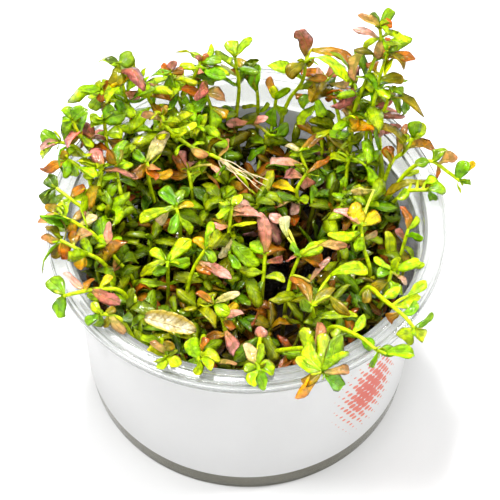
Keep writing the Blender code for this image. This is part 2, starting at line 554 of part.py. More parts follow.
def ring_places(length, nodes):
    """Distance of each ring of the stem and the node that the ring closes: two rings round each node."""
    wanted = []
    for n, middle in enumerate(nodes):
        wanted.append((middle - NODE_LENGTH / 2, None))
        wanted.append((middle + NODE_LENGTH / 2, n))
    wanted.append((length, None))
    places = [(0.0, None)]
    for distance, node in wanted:
        start = places[-1][0]
        gap = distance - start
        if node is None and gap > LONGEST_STRETCH:
            parts = int(gap / LONGEST_STRETCH) + 1
            places += [(start + gap * k / parts, None) for k in range(1, parts)]
        places.append((distance, node))
    return places


def add_stem(bm, line, run, nodes, padding=0.0):
    """Square tube along the line; returns its open faces: the sides at each node and the end."""
    places = ring_places(run[-1], nodes)
    middles = [point_at(line, run, distance) for distance, node in places]
    rings = []
    across = Vector((1, 0, 0))
    last = len(middles) - 1
    for i, middle in enumerate(middles):
        along = (middles[min(i + 1, last)] - middles[max(i - 1, 0)]).normalized()
        across = (across - along * across.dot(along)).normalized()
        other = along.cross(across)
        thinning = (STEM_TIP_RADIUS - STEM_FOOT_RADIUS) * places[i][0] / run[-1]
        radius = STEM_FOOT_RADIUS + thinning + padding
        turns = [math.pi / 4 + math.pi / 2 * k for k in range(4)]
        ring = [middle + (across * math.cos(q) + other * math.sin(q)) * radius for q in turns]
        rings.append([bm.verts.new(p) for p in ring])
    faces = {}
    for i in range(last):
        for k in range(4):
            m = (k + 1) % 4
            face = bm.faces.new((rings[i][k], rings[i][m], rings[i + 1][m], rings[i + 1][k]))
            if places[i + 1][1] is not None:
                faces[(places[i + 1][1], k)] = face
    bm.faces.new(rings[0][::-1])
    faces[(len(nodes) - 1, "end")] = bm.faces.new(rings[-1])
    bm.normal_update()
    return faces


def cross_section(middle, side, normal, width, thickness):
    """Four corners of a blade's cross-section, in the order of a face that looks along the blade."""
    a = side * width / 2
    b = normal * thickness / 2
    return [middle + a - b, middle - a - b, middle - a + b, middle + a + b]


def move_to(verts, corners):
    """Move four vertices to four corners, turned so that the blade twists least."""
    orders = [corners[k:] + corners[:k] for k in range(4)]
    best = min(orders, key=lambda row: sum((c - v.co).length for c, v in zip(row, verts)))
    for vert, corner in zip(verts, best):
        vert.co = corner


def draw_out(bm, face, sections):
    """Draw a face out through a row of cross-sections."""
    for section in sections:
        face = bmesh.ops.extrude_discrete_faces(bm, faces=[face])["faces"][0]
        move_to(list(face.verts), cross_section(*section))


def blade_axes(along, roll):
    """Side and upper normal of a blade that points along a direction."""
    side = along.cross(Vector((0.0, -0.3, 1.0)))
    if side.length <= 0.15:
        side = along.cross(Vector((0, 1, 0.2)))
    side = Matrix.Rotation(roll, 3, along) @ side.normalized()
    normal = side.cross(along).normalized()
    if normal.z < 0:
        return -side, -normal
    return side, normal


def leaf_sections(base, tip, width, arch, roll, on_petiole):
    """Cross-sections of one oval leaf; the first is the end of its petiole where it has one."""
    run = tip - base
    side, normal = blade_axes(run.normalized(), roll)
    sections = []
    if on_petiole:
        sections.append((base, side, normal, PETIOLE_WIDTH, LEAF_THICKNESS))
    sections.append((base + run * LEAF_WIDEST_AT + normal * arch, side, normal, width, LEAF_THICKNESS))
    sections.append((tip, side, normal, width * LEAF_TIP_SHARE, LEAF_THICKNESS * 0.8))
    return sections


def tube(bm, sections, padding):
    """A closed tube through a row of cross-sections."""
    rings = []
    for middle, side, normal, width, thickness in sections:
        corners = cross_section(middle, side, normal, width + 2 * padding, thickness + 2 * padding)
        rings.append([bm.verts.new(p) for p in corners])
    for low, high in zip(rings, rings[1:]):
        for k in range(4):
            m = (k + 1) % 4
            bm.faces.new((low[k], low[m], high[m], high[k]))
    bm.faces.new(rings[0][::-1])
    bm.faces.new(rings[-1])


def tree_of(faces):
    """Search tree of some faces, and the corners of each of its triangles."""
    corners = []
    owners = []
    for face in faces:
        ring = list(face.verts)
        for k in range(1, len(ring) - 1):
            corners += [ring[0].co, ring[k].co, ring[k + 1].co]
            owners.append({ring[0], ring[k], ring[k + 1]})
    triangles = [(n, n + 1, n + 2) for n in range(0, len(corners), 3)]
    return BVHTree.FromPolygons(corners, triangles), owners


def solid_tree(thing):
    """Search tree in mm of a finished object, modifiers included."""
    shown = thing.evaluated_get(bpy.context.evaluated_depsgraph_get())
    mesh = shown.to_mesh()
    return BVHTree.FromPolygons([v.co / MM for v in mesh.vertices], [p.vertices for p in mesh.polygons])


def touches(tree, taken):
    """True if a shape cuts anything that already has its place."""
    return any(tree.overlap(other) for other in taken.values())


def in_open_air(point):
    """True inside the cup and over the growth medium, over the rim, or outside the cup."""
    radius = math.hypot(point.x, point.y)
    if point.z > CUP_HEIGHT + WALL_GAP or radius > CUP_RIM_RADIUS + WALL_GAP:
        return True
    wall = CUP_STEP_RADIUS if point.z > CUP_STEP_HEIGHT + WALL_GAP else CUP_BASE_RADIUS
    return radius < wall - CUP_WALL - WALL_GAP and point.z > GEL_MIDDLE_HEIGHT


def place_stem(name, taken, chance):
    """A line for a stem from the growth medium through its seen points, clear of what stands already."""
    stem, leaves = SHOOTS[name]
    first = seen_at(*stem[0])
    bearing = math.atan2(first.y, first.x)
    foot_radius = min(math.hypot(first.x, first.y) * FOOT_RADIUS_SHARE, FOOT_LARGEST_RADIUS)
    for n in range(STEM_TRIES):
        stray = min(1.0, n / (STEM_TRIES * 0.4))
        angle = bearing + chance.uniform(-1, 1) * stray
        radius = min(max(foot_radius + chance.uniform(-8, 8) * stray, 2.0), FOOT_LARGEST_RADIUS)
        foot = Vector((radius * math.cos(angle), radius * math.sin(angle), STEM_FOOT_HEIGHT))
        lift = chance.uniform(-2.5, 2.5) * stray
        points = [foot]
        if first.z - foot.z > 9.0:
            sway = Vector((chance.uniform(-2, 2), chance.uniform(-2, 2), 0)) * stray
            lean = Vector((foot.x - first.x, foot.y - first.y, 0)) * 0.15
            points.append(foot.lerp(first, 0.55) + lean + sway)
        points += [seen_at(u, v, h + lift) for u, v, h in stem]
        if not all(in_open_air(p) for p in points[1:]):
            continue
        line, run = smooth_line(points)
        nodes, owner = find_nodes(stem, leaves, line, run)
        bm = bmesh.new()
        add_stem(bm, line, run, nodes, CLEARANCE)
        tree, corners = tree_of(bm.faces)
        bm.free()
        if not touches(tree, taken):
            return line, run, nodes, owner, lift
    raise ValueError(f"no clear place for the stem of {name}")


def leaf_clear(bm, face, sections, name, taken):
    """True if a leaf drawn out of a face would cut nothing."""
    start = face.calc_center_median() + face.normal * CLEARANCE
    root = (start, sections[0][1], sections[0][2], PETIOLE_WIDTH, LEAF_THICKNESS)
    padded = bmesh.new()
    tube(padded, [root] + sections, CLEARANCE)
    others = {key: tree for key, tree in taken.items() if key != name}
    blocked = touches(tree_of(padded.faces)[0], others)
    padded.free()
    if blocked:
        return False
    bm.faces.index_update()
    trial = bm.copy()
    trial.faces.ensure_lookup_table()
    before = set(trial.faces)
    draw_out(trial, trial.faces[face.index], sections)
    fresh, fresh_corners = tree_of([f for f in trial.faces if f not in before])
    whole, whole_corners = tree_of(trial.faces)
    blocked = touches(fresh, others)
    blocked = blocked or any(not fresh_corners[a] & whole_corners[b] for a, b in fresh.overlap(whole))
    trial.free()
    return not blocked


def place_leaf(bm, faces, node, leaf, stem, lift, name, taken, chance):
    """Draw one leaf out of a free face at its node, at its own height or as near to it as is clear."""
    start_u, start_v, tip_u, tip_v, width, rise = leaf[:6]
    arch = leaf[6] if len(leaf) > 6 else 0.0
    level = height_beside(stem, start_u, start_v) + lift
    seen_length = math.hypot(tip_u - start_u, tip_v - start_v) * MM_PER_PIXEL
    for n in range(LEAF_TRIES):
        stray = min(1.0, n / (LEAF_TRIES * 0.4))
        drop = chance.uniform(-5, 5) * stray
        droop = chance.uniform(-6, 6) * stray
        roll = chance.uniform(-1.2, 1.2) * min(1.0, stray * 1.5)
        base = seen_at(start_u, start_v, level + drop)
        tip = seen_at(tip_u, tip_v, level + drop + rise + droop)
        too_long = (tip - base).length > seen_length * 1.9 + 2.0
        if too_long or not all(in_open_air(base.lerp(tip, s)) for s in (0.35, 0.6, 0.8, 1.0)):
            continue
        options = []
        for key, face in faces.items():
            if key[0] == node:
                middle = face.calc_center_median()
                on_petiole = (base - middle).length > PETIOLE_REACH
                heading = ((base if on_petiole else tip) - middle).normalized()
                options.append((face.normal.dot(heading), str(key), key, on_petiole))
        for facing, word, key, on_petiole in sorted(options, reverse=True)[:3]:
            face = faces[key]
            begin = base if on_petiole else face.calc_center_median()
            sections = leaf_sections(begin, tip, width, arch, roll, on_petiole)
            if facing > 0.2 and leaf_clear(bm, face, sections, name, taken):
                draw_out(bm, faces.pop(key), sections)
                bm.normal_update()
                taken[name] = tree_of(bm.faces)[0]
                return


def finish_mesh(name, bm):
    """Scale to metres, face outwards, and hand over as a mesh."""
    bmesh.ops.scale(bm, vec=(MM, MM, MM), verts=bm.verts[:])
    bmesh.ops.recalc_face_normals(bm, faces=bm.faces[:])
    if bm.calc_volume(signed=True) < 0:
        bmesh.ops.reverse_faces(bm, faces=bm.faces[:])
    mesh = bpy.data.meshes.new(name)
    bm.to_mesh(mesh)
    bm.free()
    return mesh


def make_loose_leaf(collection):
    """Pale dead leaf, folded double, lying on the front of the clump."""
    look = material("dead_leaf", (0.85, 0.75, 0.35), 0.5)
    start, end = (seen_at(*spot) for spot in LOOSE_LEAF_ENDS)
    run = end - start
    side, normal = blade_axes(run.normalized(), 0.0)
    sections = []
    for share, width, rise in LOOSE_LEAF_FORM:
        sections.append((start + run * share + normal * rise, side, normal, width, LOOSE_LEAF_THICKNESS))
    bm = bmesh.new()
    tube(bm, sections, 0.0)
    return add_object("loose_leaf", finish_mesh("loose_leaf", bm), look, collection)


def make_shoots(collection, taken):
    """All the shoots: every stem first, then the leaves of each."""
    look = material("plant_tissue", (0.30, 0.50, 0.03), 0.35)
    chance = random.Random(PLACING_SEED)
    order = sorted(SHOOTS, key=lambda name: name not in PLACED_FIRST)
    growing = {}
    for name in order:
        line, run, nodes, owner, lift = place_stem(name, taken, chance)
        bm = bmesh.new()
        faces = add_stem(bm, line, run, nodes)
        taken[name] = tree_of(bm.faces)[0]
        growing[name] = (bm, faces, owner, lift)
    for name, (bm, faces, owner, lift) in growing.items():
        stem, leaves = SHOOTS[name]
        for n, leaf in enumerate(leaves):
            place_leaf(bm, faces, owner[n], leaf, stem, lift, name, taken, chance)
        add_object("shoot_" + name, finish_mesh(name, bm), look, collection)


def main():
    """Build the cup and its sleeve, what fills it, and the plants."""
    collection = start_clean()
    cup = make_cup(collection)
    make_label(collection)
    medium = make_growth_medium(collection)
    loose = make_loose_leaf(collection)
    taken = {thing.name: solid_tree(thing) for thing in (cup, medium, loose)}
    make_shoots(collection, taken)


main()
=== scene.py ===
"""The looks of a rotala in its culture cup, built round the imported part.

Lengths here are in millimetres, like the sizes of the real thing, and turn into metres where a mesh is
made.
"""
import math
import random

import bmesh
import bpy
import numpy as np
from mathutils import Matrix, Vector, noise


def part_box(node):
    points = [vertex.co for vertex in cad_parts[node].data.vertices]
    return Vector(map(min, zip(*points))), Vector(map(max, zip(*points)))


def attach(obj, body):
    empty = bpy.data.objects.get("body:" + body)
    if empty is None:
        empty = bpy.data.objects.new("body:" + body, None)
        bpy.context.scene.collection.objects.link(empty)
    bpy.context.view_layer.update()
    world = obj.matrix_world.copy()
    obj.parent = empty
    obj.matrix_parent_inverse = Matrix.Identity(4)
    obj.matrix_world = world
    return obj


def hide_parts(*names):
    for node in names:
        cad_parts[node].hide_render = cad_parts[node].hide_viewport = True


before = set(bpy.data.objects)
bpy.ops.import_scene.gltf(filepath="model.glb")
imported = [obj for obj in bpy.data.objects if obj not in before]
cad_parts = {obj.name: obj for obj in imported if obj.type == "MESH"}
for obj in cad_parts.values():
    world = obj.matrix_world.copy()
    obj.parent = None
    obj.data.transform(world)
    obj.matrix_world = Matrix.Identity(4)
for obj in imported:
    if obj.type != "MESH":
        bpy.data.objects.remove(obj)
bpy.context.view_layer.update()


# Camera: the photograph is taken from above the front of the cup with a long lens. Its place was fitted to
# the outlines of the rim, the skirt and the base. Every leaf below is placed along one of its sight lines.

IMAGE_SIDE = 500
FOCAL_PIXELS = 1710.2
SENSOR = 36.0
CLIP_NEAR, CLIP_FAR = 10.0, 10000.0
ELEVATION = math.radians(54.42)
AIM = np.array((0.65, 0.0, 37.78))
DISTANCE = 350.0
BACKWARDS = np.array((0.0, -math.cos(ELEVATION), math.sin(ELEVATION)))
UPWARDS = np.array((0.0, math.sin(ELEVATION), math.cos(ELEVATION)))
EYE = AIM + BACKWARDS * DISTANCE
MM = 0.001


def placed(name, data):
    """A new object in the scene."""
    thing = bpy.data.objects.new(name, data)
    bpy.context.scene.collection.objects.link(thing)
    return thing


def make_camera():
    """The photograph's camera."""
    data = bpy.data.cameras.new("camera")
    data.sensor_width = SENSOR
    data.lens = SENSOR * FOCAL_PIXELS / IMAGE_SIDE
    data.clip_start, data.clip_end = CLIP_NEAR * MM, CLIP_FAR * MM
    camera = placed("camera", data)
    camera.location = EYE * MM
    camera.rotation_euler = (math.pi / 2 - ELEVATION, 0.0, 0.0)
    bpy.context.scene.camera = camera


def sight_line(across, down):
    """Direction from the eye through a pixel of the photograph."""
    ray = UPWARDS * ((IMAGE_SIDE / 2 - down) / FOCAL_PIXELS) - BACKWARDS
    ray[0] += (across - IMAGE_SIDE / 2) / FOCAL_PIXELS
    return ray / np.linalg.norm(ray)


def pixel_of(point):
    """Pixel of the photograph at which a point shows."""
    offset = point - EYE
    depth = -offset @ BACKWARDS
    across = IMAGE_SIDE / 2 + FOCAL_PIXELS * offset[0] / depth
    return across, IMAGE_SIDE / 2 - FOCAL_PIXELS * (offset @ UPWARDS) / depth


make_camera()


# Cup: thin drawn clear plastic. Flat base, wall with a slight draft, a low stacking step, a flat flange
# with a bead round its mouth and a short skirt turned down outside. All one piece, of one thickness.

CUP_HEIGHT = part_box("cup")[1][2] / MM
CUP_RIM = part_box("cup")[1][0] / MM
CUP_WALL = 0.6
CUP_BASE_RADIUS = 34.5
# Radius and height of the wall's top and of the stacking step over it
CUP_NECK = (35.1, 42.2)
CUP_STEP = (36.0, 43.4)
CUP_SKIRT = 1.6
CUP_CORNER = 0.4
EDGE_CORNER = 0.35
CORNER_POINTS = 5
CORNER_SHARE = 0.45
FLANGE_PLASTIC = (0.66, 0.675, 0.66)
WALL_PLASTIC = (0.93, 0.94, 0.93)
STAINED_PLASTIC = (0.36, 0.34, 0.24)
STAIN_TOP = 4.6
STAIN_FADE = 0.5
CUP_TURNS = 192
BEAD_HEIGHT = 0.18
BEAD_PLACES = (36.9, 38.9)
BEAD_WIDTH = 0.28
# Radii between which the flange is flat but for its beads, over and under, and how far its corners keep off
FLAT_OVER = (CUP_STEP[0] + 0.35, CUP_RIM - 0.7)
FLAT_UNDER = (CUP_STEP[0] + 0.45, CUP_RIM - CUP_WALL - 0.35)
FLAT_POINTS = 40
FLAT_GAP = 0.05


def add_node(tree, kind, values=(), family="ShaderNode", **settings):
    """A node; each input is given as a value or as the socket that feeds it."""
    node = tree.nodes.new(family + kind)
    for name, value in settings.items():
        setattr(node, name, value)
    for socket, value in dict(values).items():
        if isinstance(value, bpy.types.NodeSocket):
            tree.links.new(value, node.inputs[socket])
        else:
            node.inputs[socket].default_value = value
    return node


def new_material(name):
    """An empty node material and its output node."""
    made = bpy.data.materials.new(name)
    made.use_nodes = True
    made.node_tree.nodes.clear()
    return made, made.node_tree, made.node_tree.nodes.new("ShaderNodeOutputMaterial")


def new_group(name, inputs, outputs, family="Shader"):
    """A node group with named inputs and outputs: its tree, what it is given and what it puts out."""
    tree = bpy.data.node_groups.new(name, family + "NodeTree")
    for way, sockets in (("INPUT", inputs), ("OUTPUT", outputs)):
        for socket, kind in sockets:
            tree.interface.new_socket(socket, in_out=way, socket_type="NodeSocket" + kind)
    return tree, tree.nodes.new("NodeGroupInput").outputs, tree.nodes.new("NodeGroupOutput").inputs


def surface_grain():
    """Group of all the finishes: noise on the piece's own coordinates, in swings per metre."""
    inputs = (("Scale", "Float"), ("Detail", "Float"), ("Stretch", "Vector"))
    tree, given, output = new_group("surface_grain", inputs, (("Grain", "Float"),))
    place = add_node(tree, "TexCoord").outputs["Object"]
    stretched = add_node(tree, "Mapping", {"Vector": place, "Scale": given["Stretch"]}).outputs["Vector"]
    values = {"Vector": stretched, "Scale": given["Scale"], "Detail": given["Detail"]}
    tree.links.new(add_node(tree, "TexNoise", values).outputs["Fac"], output["Grain"])
    return tree


SURFACE_GRAIN = surface_grain()


def grained(tree, scale, detail=2.0, stretch=(1.0, 1.0, 1.0)):
    """The grain group placed in a material with its own values."""
    values = {"Scale": scale, "Detail": detail, "Stretch": stretch}
    return add_node(tree, "Group", values, node_tree=SURFACE_GRAIN).outputs["Grain"]


def between(tree, value, low, high, start=0.0, end=1.0):
    """A value brought from the range low to high smoothly into start to end."""
    inputs = {"Value": value, "From Min": low, "From Max": high, "To Min": start, "To Max": end}
    return add_node(tree, "MapRange", inputs, interpolation_type="SMOOTHSTEP").outputs["Result"]


def reckon(tree, sort, first, second=0.0):
    """One sum on two numbers."""
    return add_node(tree, "Math", {0: first, 1: second}, operation=sort).outputs["Value"]


def mixed(tree, share, first, second, way="MIX"):
    """Two colours mixed."""
    node = tree.nodes.new("ShaderNodeMix")
    node.data_type = "RGBA"
    node.blend_type = way
    for name, value in (("Factor", share), ("A", first), ("B", second)):
        kind = "VALUE" if name == "Factor" else "RGBA"
        socket = next(s for s in node.inputs if s.name == name and s.type == kind)
        if isinstance(value, bpy.types.NodeSocket):
            tree.links.new(value, socket)
        else:
            socket.default_value = value if name == "Factor" else (*value, 1.0)
    return next(s for s in node.outputs if s.type == "RGBA")


def multiplied(tree, colour, factors):
    """A colour with its red, green and blue multiplied."""
    return mixed(tree, 1.0, colour, factors, "MULTIPLY")


def bumped(tree, height, depth, strength=1.0):
    """Normal of a surface raised by a height from 0 to 1, to a depth in mm."""
    values = {"Height": height, "Distance": depth * MM, "Strength": strength}
    return add_node(tree, "Bump", values).outputs["Normal"]


def surfaced(tree, output, shader, share=0.0, **through):
    """Leads a shader to the output, mixed with a share of light that shines through where there is one."""
    if share:
        glow = add_node(tree, "BsdfTranslucent", through)
        shader = add_node(tree, "MixShader", {0: share, 1: shader.outputs[0], 2: glow.outputs[0]})
    tree.links.new(shader.outputs[0], output.inputs["Surface"])


def clear_plastic():
    """Clear plastic with faint flow lines and scratches: milkier in the flange, which isn't drawn so thin,
    and stained beside the medium."""
    made, tree, output = new_material("clear_plastic")
    level = add_node(tree, "SeparateXYZ", {0: add_node(tree, "TexCoord").outputs["Object"]}).outputs["Z"]
    clean = between(tree, level, STAIN_TOP * MM, (STAIN_TOP + STAIN_FADE) * MM)
    milky = between(tree, level, CUP_NECK[1] * MM, CUP_STEP[1] * MM)
    wall = mixed(tree, clean, STAINED_PLASTIC, WALL_PLASTIC)
    flow = grained(tree, 140.0, 3.0, (1.0, 1.0, 4.0))
    scratches = grained(tree, 2600.0, 1.0, (1.0, 1.0, 0.15))
    height = reckon(tree, "ADD", flow, reckon(tree, "MULTIPLY", scratches, 0.12))
    shader = add_node(tree, "BsdfPrincipled", {
        "Base Color": mixed(tree, milky, wall, FLANGE_PLASTIC), "Metallic": 0.0,
        "Transmission Weight": 0.80, "IOR": 1.4,
        "Roughness": between(tree, scratches, 0.3, 0.8, 0.05, 0.2), "Normal": bumped(tree, height, 0.03)})
    surfaced(tree, output, shader)
    return made


def rounded(corners, radius):
    """A profile with each inner corner replaced by a short curve."""
    points = [corners[0]]
    for before, corner, after in zip(corners, corners[1:], corners[2:]):
        corner = np.array(corner)
        ends = []
        for other in (before, after):
            way = np.array(other) - corner
            length = np.linalg.norm(way)
            ends.append(corner + way / length * min(radius, length * CORNER_SHARE))
        for t in np.linspace(0.0, 1.0, CORNER_POINTS):
            points.append(tuple(ends[0] * (1 - t) ** 2 + corner * 2 * t * (1 - t) + ends[1] * t * t))
    points.append(corners[-1])
    return points


def turned(name, profile, turns):
    """Turn a profile of (radius, height) once about Z. Its outer side runs downwards."""
    angles = np.linspace(0.0, 2 * math.pi, turns, endpoint=False)
    mesh = bpy.data.meshes.new(name)
    bm = bmesh.new()
    rings = []
    for r, z in profile:
        if r == 0.0:
            rings.append([bm.verts.new((0.0, 0.0, z * MM))] * turns)
        else:
            spots = [(r * MM * math.cos(a), r * MM * math.sin(a), z * MM) for a in angles]
            rings.append([bm.verts.new(spot) for spot in spots])
    for upper, lower in zip(rings, rings[1:]):
        for k in range(turns):
            m = (k + 1) % turns
            corners = [upper[k], lower[k], lower[m], upper[m]]
            bm.faces.new(list(dict.fromkeys(corners)))
    bm.to_mesh(mesh)
    bm.free()
    mesh.shade_smooth()
    return finished(name, mesh)


def finished(name, mesh):
    """A mesh as an object that rides with the part."""
    thing = placed(name, mesh)
    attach(thing, "root")
    return thing


def beaded(radii, height, outwards):
    """The flat top or underside of the flange between two radii, raised a little at each bead."""
    points = []
    for r in np.linspace(*radii, FLAT_POINTS):
        lift = sum(math.exp(-((r - place) / BEAD_WIDTH) ** 2) for place in BEAD_PLACES)
        points.append((r, height + BEAD_HEIGHT * lift))
    return points if outwards else points[::-1]


def make_cup():
    """The cup with its real rounded edges."""
    top = CUP_HEIGHT - BEAD_HEIGHT
    skirt_foot = CUP_HEIGHT - CUP_SKIRT
    inside = rounded([
        (0.0, CUP_WALL), (CUP_BASE_RADIUS - CUP_WALL, CUP_WALL), (CUP_NECK[0] - CUP_WALL, CUP_NECK[1]),
        (CUP_STEP[0] - CUP_WALL, CUP_STEP[1]), (CUP_STEP[0] - CUP_WALL, top),
        (FLAT_OVER[0] - FLAT_GAP, top),
    ], CUP_CORNER)
    over = beaded(FLAT_OVER, top, True)
    edge = rounded([
        (FLAT_OVER[1] + FLAT_GAP, top), (CUP_RIM, top), (CUP_RIM, skirt_foot),
        (CUP_RIM - CUP_WALL, skirt_foot), (CUP_RIM - CUP_WALL, top - CUP_WALL),
        (FLAT_UNDER[1] + FLAT_GAP, top - CUP_WALL),
    ], EDGE_CORNER)
    under = beaded(FLAT_UNDER, top - CUP_WALL, False)
    outside = rounded([
        (FLAT_UNDER[0] - FLAT_GAP, top - CUP_WALL), (CUP_STEP[0], top - CUP_WALL), CUP_STEP, CUP_NECK,
        (CUP_BASE_RADIUS, 0.0), (0.0, 0.0),
    ], CUP_CORNER)
    cup = turned("cup_clear", inside + over + edge + under + outside, CUP_TURNS)
    cup.data.materials.append(clear_plastic())
    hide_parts("cup")


make_cup()


# Label: a white printed film wrapped once round the wall below the stacking step, with a narrow lap at the
# back. Its print is generic: a patch of orange-red dots on the right.

LABEL_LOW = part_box("label")[0][2] / MM
LABEL_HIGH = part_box("label")[1][2] / MM
LABEL_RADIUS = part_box("label")[1][0] / MM
LABEL_FILM = 0.17
LABEL_GAP = 0.15
LABEL_TURNS = 160
LABEL_ROWS = 10
FRONT_ANGLE = 1.5 * math.pi
# The film starts at this angle, goes round a little more than once and lifts a little towards its end
LAP_ANGLE = math.radians(96.0)
LAP_TURN = 1.012
LAP_SHARE = 0.03
LAP_LIFT = 0.1056
SHARP_ANGLE = math.radians(40.0)
FILM_COLOURS = ((0.85, 0.85, 0.85), (0.89, 0.89, 0.885))
DOT_COLOURS = ((0.82, 0.10, 0.045), (0.90, 0.27, 0.14))
PATCH_ANGLE = math.radians(45.0)
PATCH_HEIGHT = 24.0
PATCH_HALF = (12.5, 18.0)
DOT_PITCH = 1.9
DOT_SLANT = 0.5
DOT_STRAY = 0.25
DOT_SIZE = 0.62
DOT_EDGE = 0.06


def dot_patch(tree, arc, height):
    """Mask of the dots: round, in rows, large in the middle of the patch and smaller outwards."""
    aside = reckon(tree, "SUBTRACT", arc, PATCH_ANGLE * LABEL_RADIUS)
    above = reckon(tree, "SUBTRACT", height, PATCH_HEIGHT)
    flat = add_node(tree, "CombineXYZ", {0: reckon(tree, "DIVIDE", aside, PATCH_HALF[0]),
                                         1: reckon(tree, "DIVIDE", above, PATCH_HALF[1])}).outputs[0]
    middle = add_node(tree, "VectorMath", {0: flat}, operation="LENGTH").outputs["Value"]
    slanted = reckon(tree, "ADD", aside, reckon(tree, "MULTIPLY", above, DOT_SLANT))
    grid = add_node(tree, "CombineXYZ", {0: slanted, 1: above}).outputs[0]
    values = {"Vector": grid, "Scale": 1.0 / DOT_PITCH, "Randomness": DOT_STRAY}
    cells = add_node(tree, "TexVoronoi", values, voronoi_dimensions="2D")
    size = between(tree, middle, 0.1, 1.0, DOT_SIZE, 0.0)
    gap = reckon(tree, "SUBTRACT", size, cells.outputs["Distance"])
    return between(tree, gap, 0.0, DOT_EDGE), middle


def label_film():
    """Satin white film, faintly wavy, with its print."""
    made, tree, output = new_material("label_film")
    place = add_node(tree, "Attribute", attribute_name="wrap").outputs["Vector"]
    parts = add_node(tree, "SeparateXYZ", {0: place}).outputs
    arc, height = parts["X"], parts["Y"]
    dots, middle = dot_patch(tree, arc, height)
    red = mixed(tree, between(tree, middle, 0.0, 0.9), *DOT_COLOURS)
    paper = mixed(tree, grained(tree, 60.0), *FILM_COLOURS)
    printed = mixed(tree, reckon(tree, "MULTIPLY", dots, 0.9), paper, red)
    waves = reckon(tree, "ADD", grained(tree, 90.0, 2.0, (1.0, 1.0, 0.4)),
                   reckon(tree, "MULTIPLY", grained(tree, 5200.0, 1.0), 0.02))
    shader = add_node(tree, "BsdfPrincipled", {
        "Base Color": printed, "Roughness": between(tree, grained(tree, 700.0), 0.3, 0.7, 0.28, 0.4),
        "Coat Weight": 0.2, "Coat Roughness": 0.12, "Normal": bumped(tree, waves, 0.25, 0.6)})
    surfaced(tree, output, shader, 0.40, Color=printed)
    return made


def make_label():
    """The film, its ends lapped at the back, with the arc and the height at each point for the print."""
    bm = bmesh.new()
    spots = {}
    grid = []
    draft = (CUP_NECK[0] - CUP_BASE_RADIUS) / CUP_NECK[1]
    for i in range(LABEL_TURNS + 1):
        angle = LAP_ANGLE + 2 * math.pi * LAP_TURN * i / LABEL_TURNS
        lift = LAP_LIFT * max(0.0, (i / LABEL_TURNS - 1.0) / LAP_SHARE + 1.0)
        column = []
        for j in range(LABEL_ROWS + 1):
            z = LABEL_LOW + (LABEL_HIGH - LABEL_LOW) * j / LABEL_ROWS
            r = CUP_BASE_RADIUS + LABEL_GAP + draft * z + lift
            pair = [bm.verts.new((side * MM * math.cos(angle), side * MM * math.sin(angle), z * MM))
                    for side in (r, r + LABEL_FILM)]
            for vert in pair:
                spots[vert] = ((angle - FRONT_ANGLE) * LABEL_RADIUS, z, 0.0)
            column.append(pair)
        grid.append(column)
    for left, right in zip(grid, grid[1:]):
        for low, high in zip(range(LABEL_ROWS), range(1, LABEL_ROWS + 1)):
            bm.faces.new((left[low][1], right[low][1], right[high][1], left[high][1]))
            bm.faces.new((left[low][0], left[high][0], right[high][0], right[low][0]))
        bm.faces.new((left[0][0], right[0][0], right[0][1], left[0][1]))
        bm.faces.new((left[-1][1], right[-1][1], right[-1][0], left[-1][0]))
    for column, flip in ((grid[0], False), (grid[-1], True)):
        for low, high in zip(range(LABEL_ROWS), range(1, LABEL_ROWS + 1)):
            corners = [column[low][0], column[low][1], column[high][1], column[high][0]]
            bm.faces.new(corners[::-1] if flip else corners)
    bm.verts.index_update()
    places = [0.0] * (3 * len(bm.verts))
    for vert, spot in spots.items():
        places[3 * vert.index:3 * vert.index + 3] = spot
    mesh = bpy.data.meshes.new("label_sleeve")
    bm.to_mesh(mesh)
    bm.free()
    mesh.attributes.new("wrap", "FLOAT_VECTOR", "POINT").data.foreach_set("vector", places)
    mesh.shade_smooth()
    mesh.set_sharp_from_angle(angle=SHARP_ANGLE)
    mesh.materials.append(label_film())
    label = finished("label_sleeve", mesh)
    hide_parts("label")


make_label()


# Growth medium: set culture medium in the bottom of the cup, brown with dead roots and shed leaves, and
# uneven on top, where it is painted near black, partly for its dead matter and partly as painted shade under
# the clump. It is poured in, so it touches the wall all round.

MEDIUM_GAP = 0.05
MEDIUM_RADIUS = CUP_BASE_RADIUS - CUP_WALL - MEDIUM_GAP
MEDIUM_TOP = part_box("growth_medium")[1][2] / MM
MEDIUM_BOTTOM = CUP_WALL + MEDIUM_GAP
MEDIUM_RINGS = 26
MEDIUM_TURNS = 120
SIDE_COLOURS = ((0.13, 0.12, 0.03), (0.27, 0.25, 0.10))
PATCH_COLOUR = (0.09, 0.10, 0.03)
# Top colours: near black, partly the dead roots and leaves, partly painted shade of the clump over it
TOP_DEBRIS_AND_SHADE_COLOURS = ((0.008, 0.005, 0.003), (0.06, 0.035, 0.018))
TOP_FADE = (2.4, 1.2)
EDGE_DROP = 4.0
LUMP_LEVEL = 1.0
LUMP_SWINGS = 260.0
LUMP_DEPTH = 0.9
# Roughness, step and number of the noise's layers, and the value at which it is cut off flat
LUMP_LAYERS = (0.8, 2.0, 4)
LUMP_CUT = 0.9


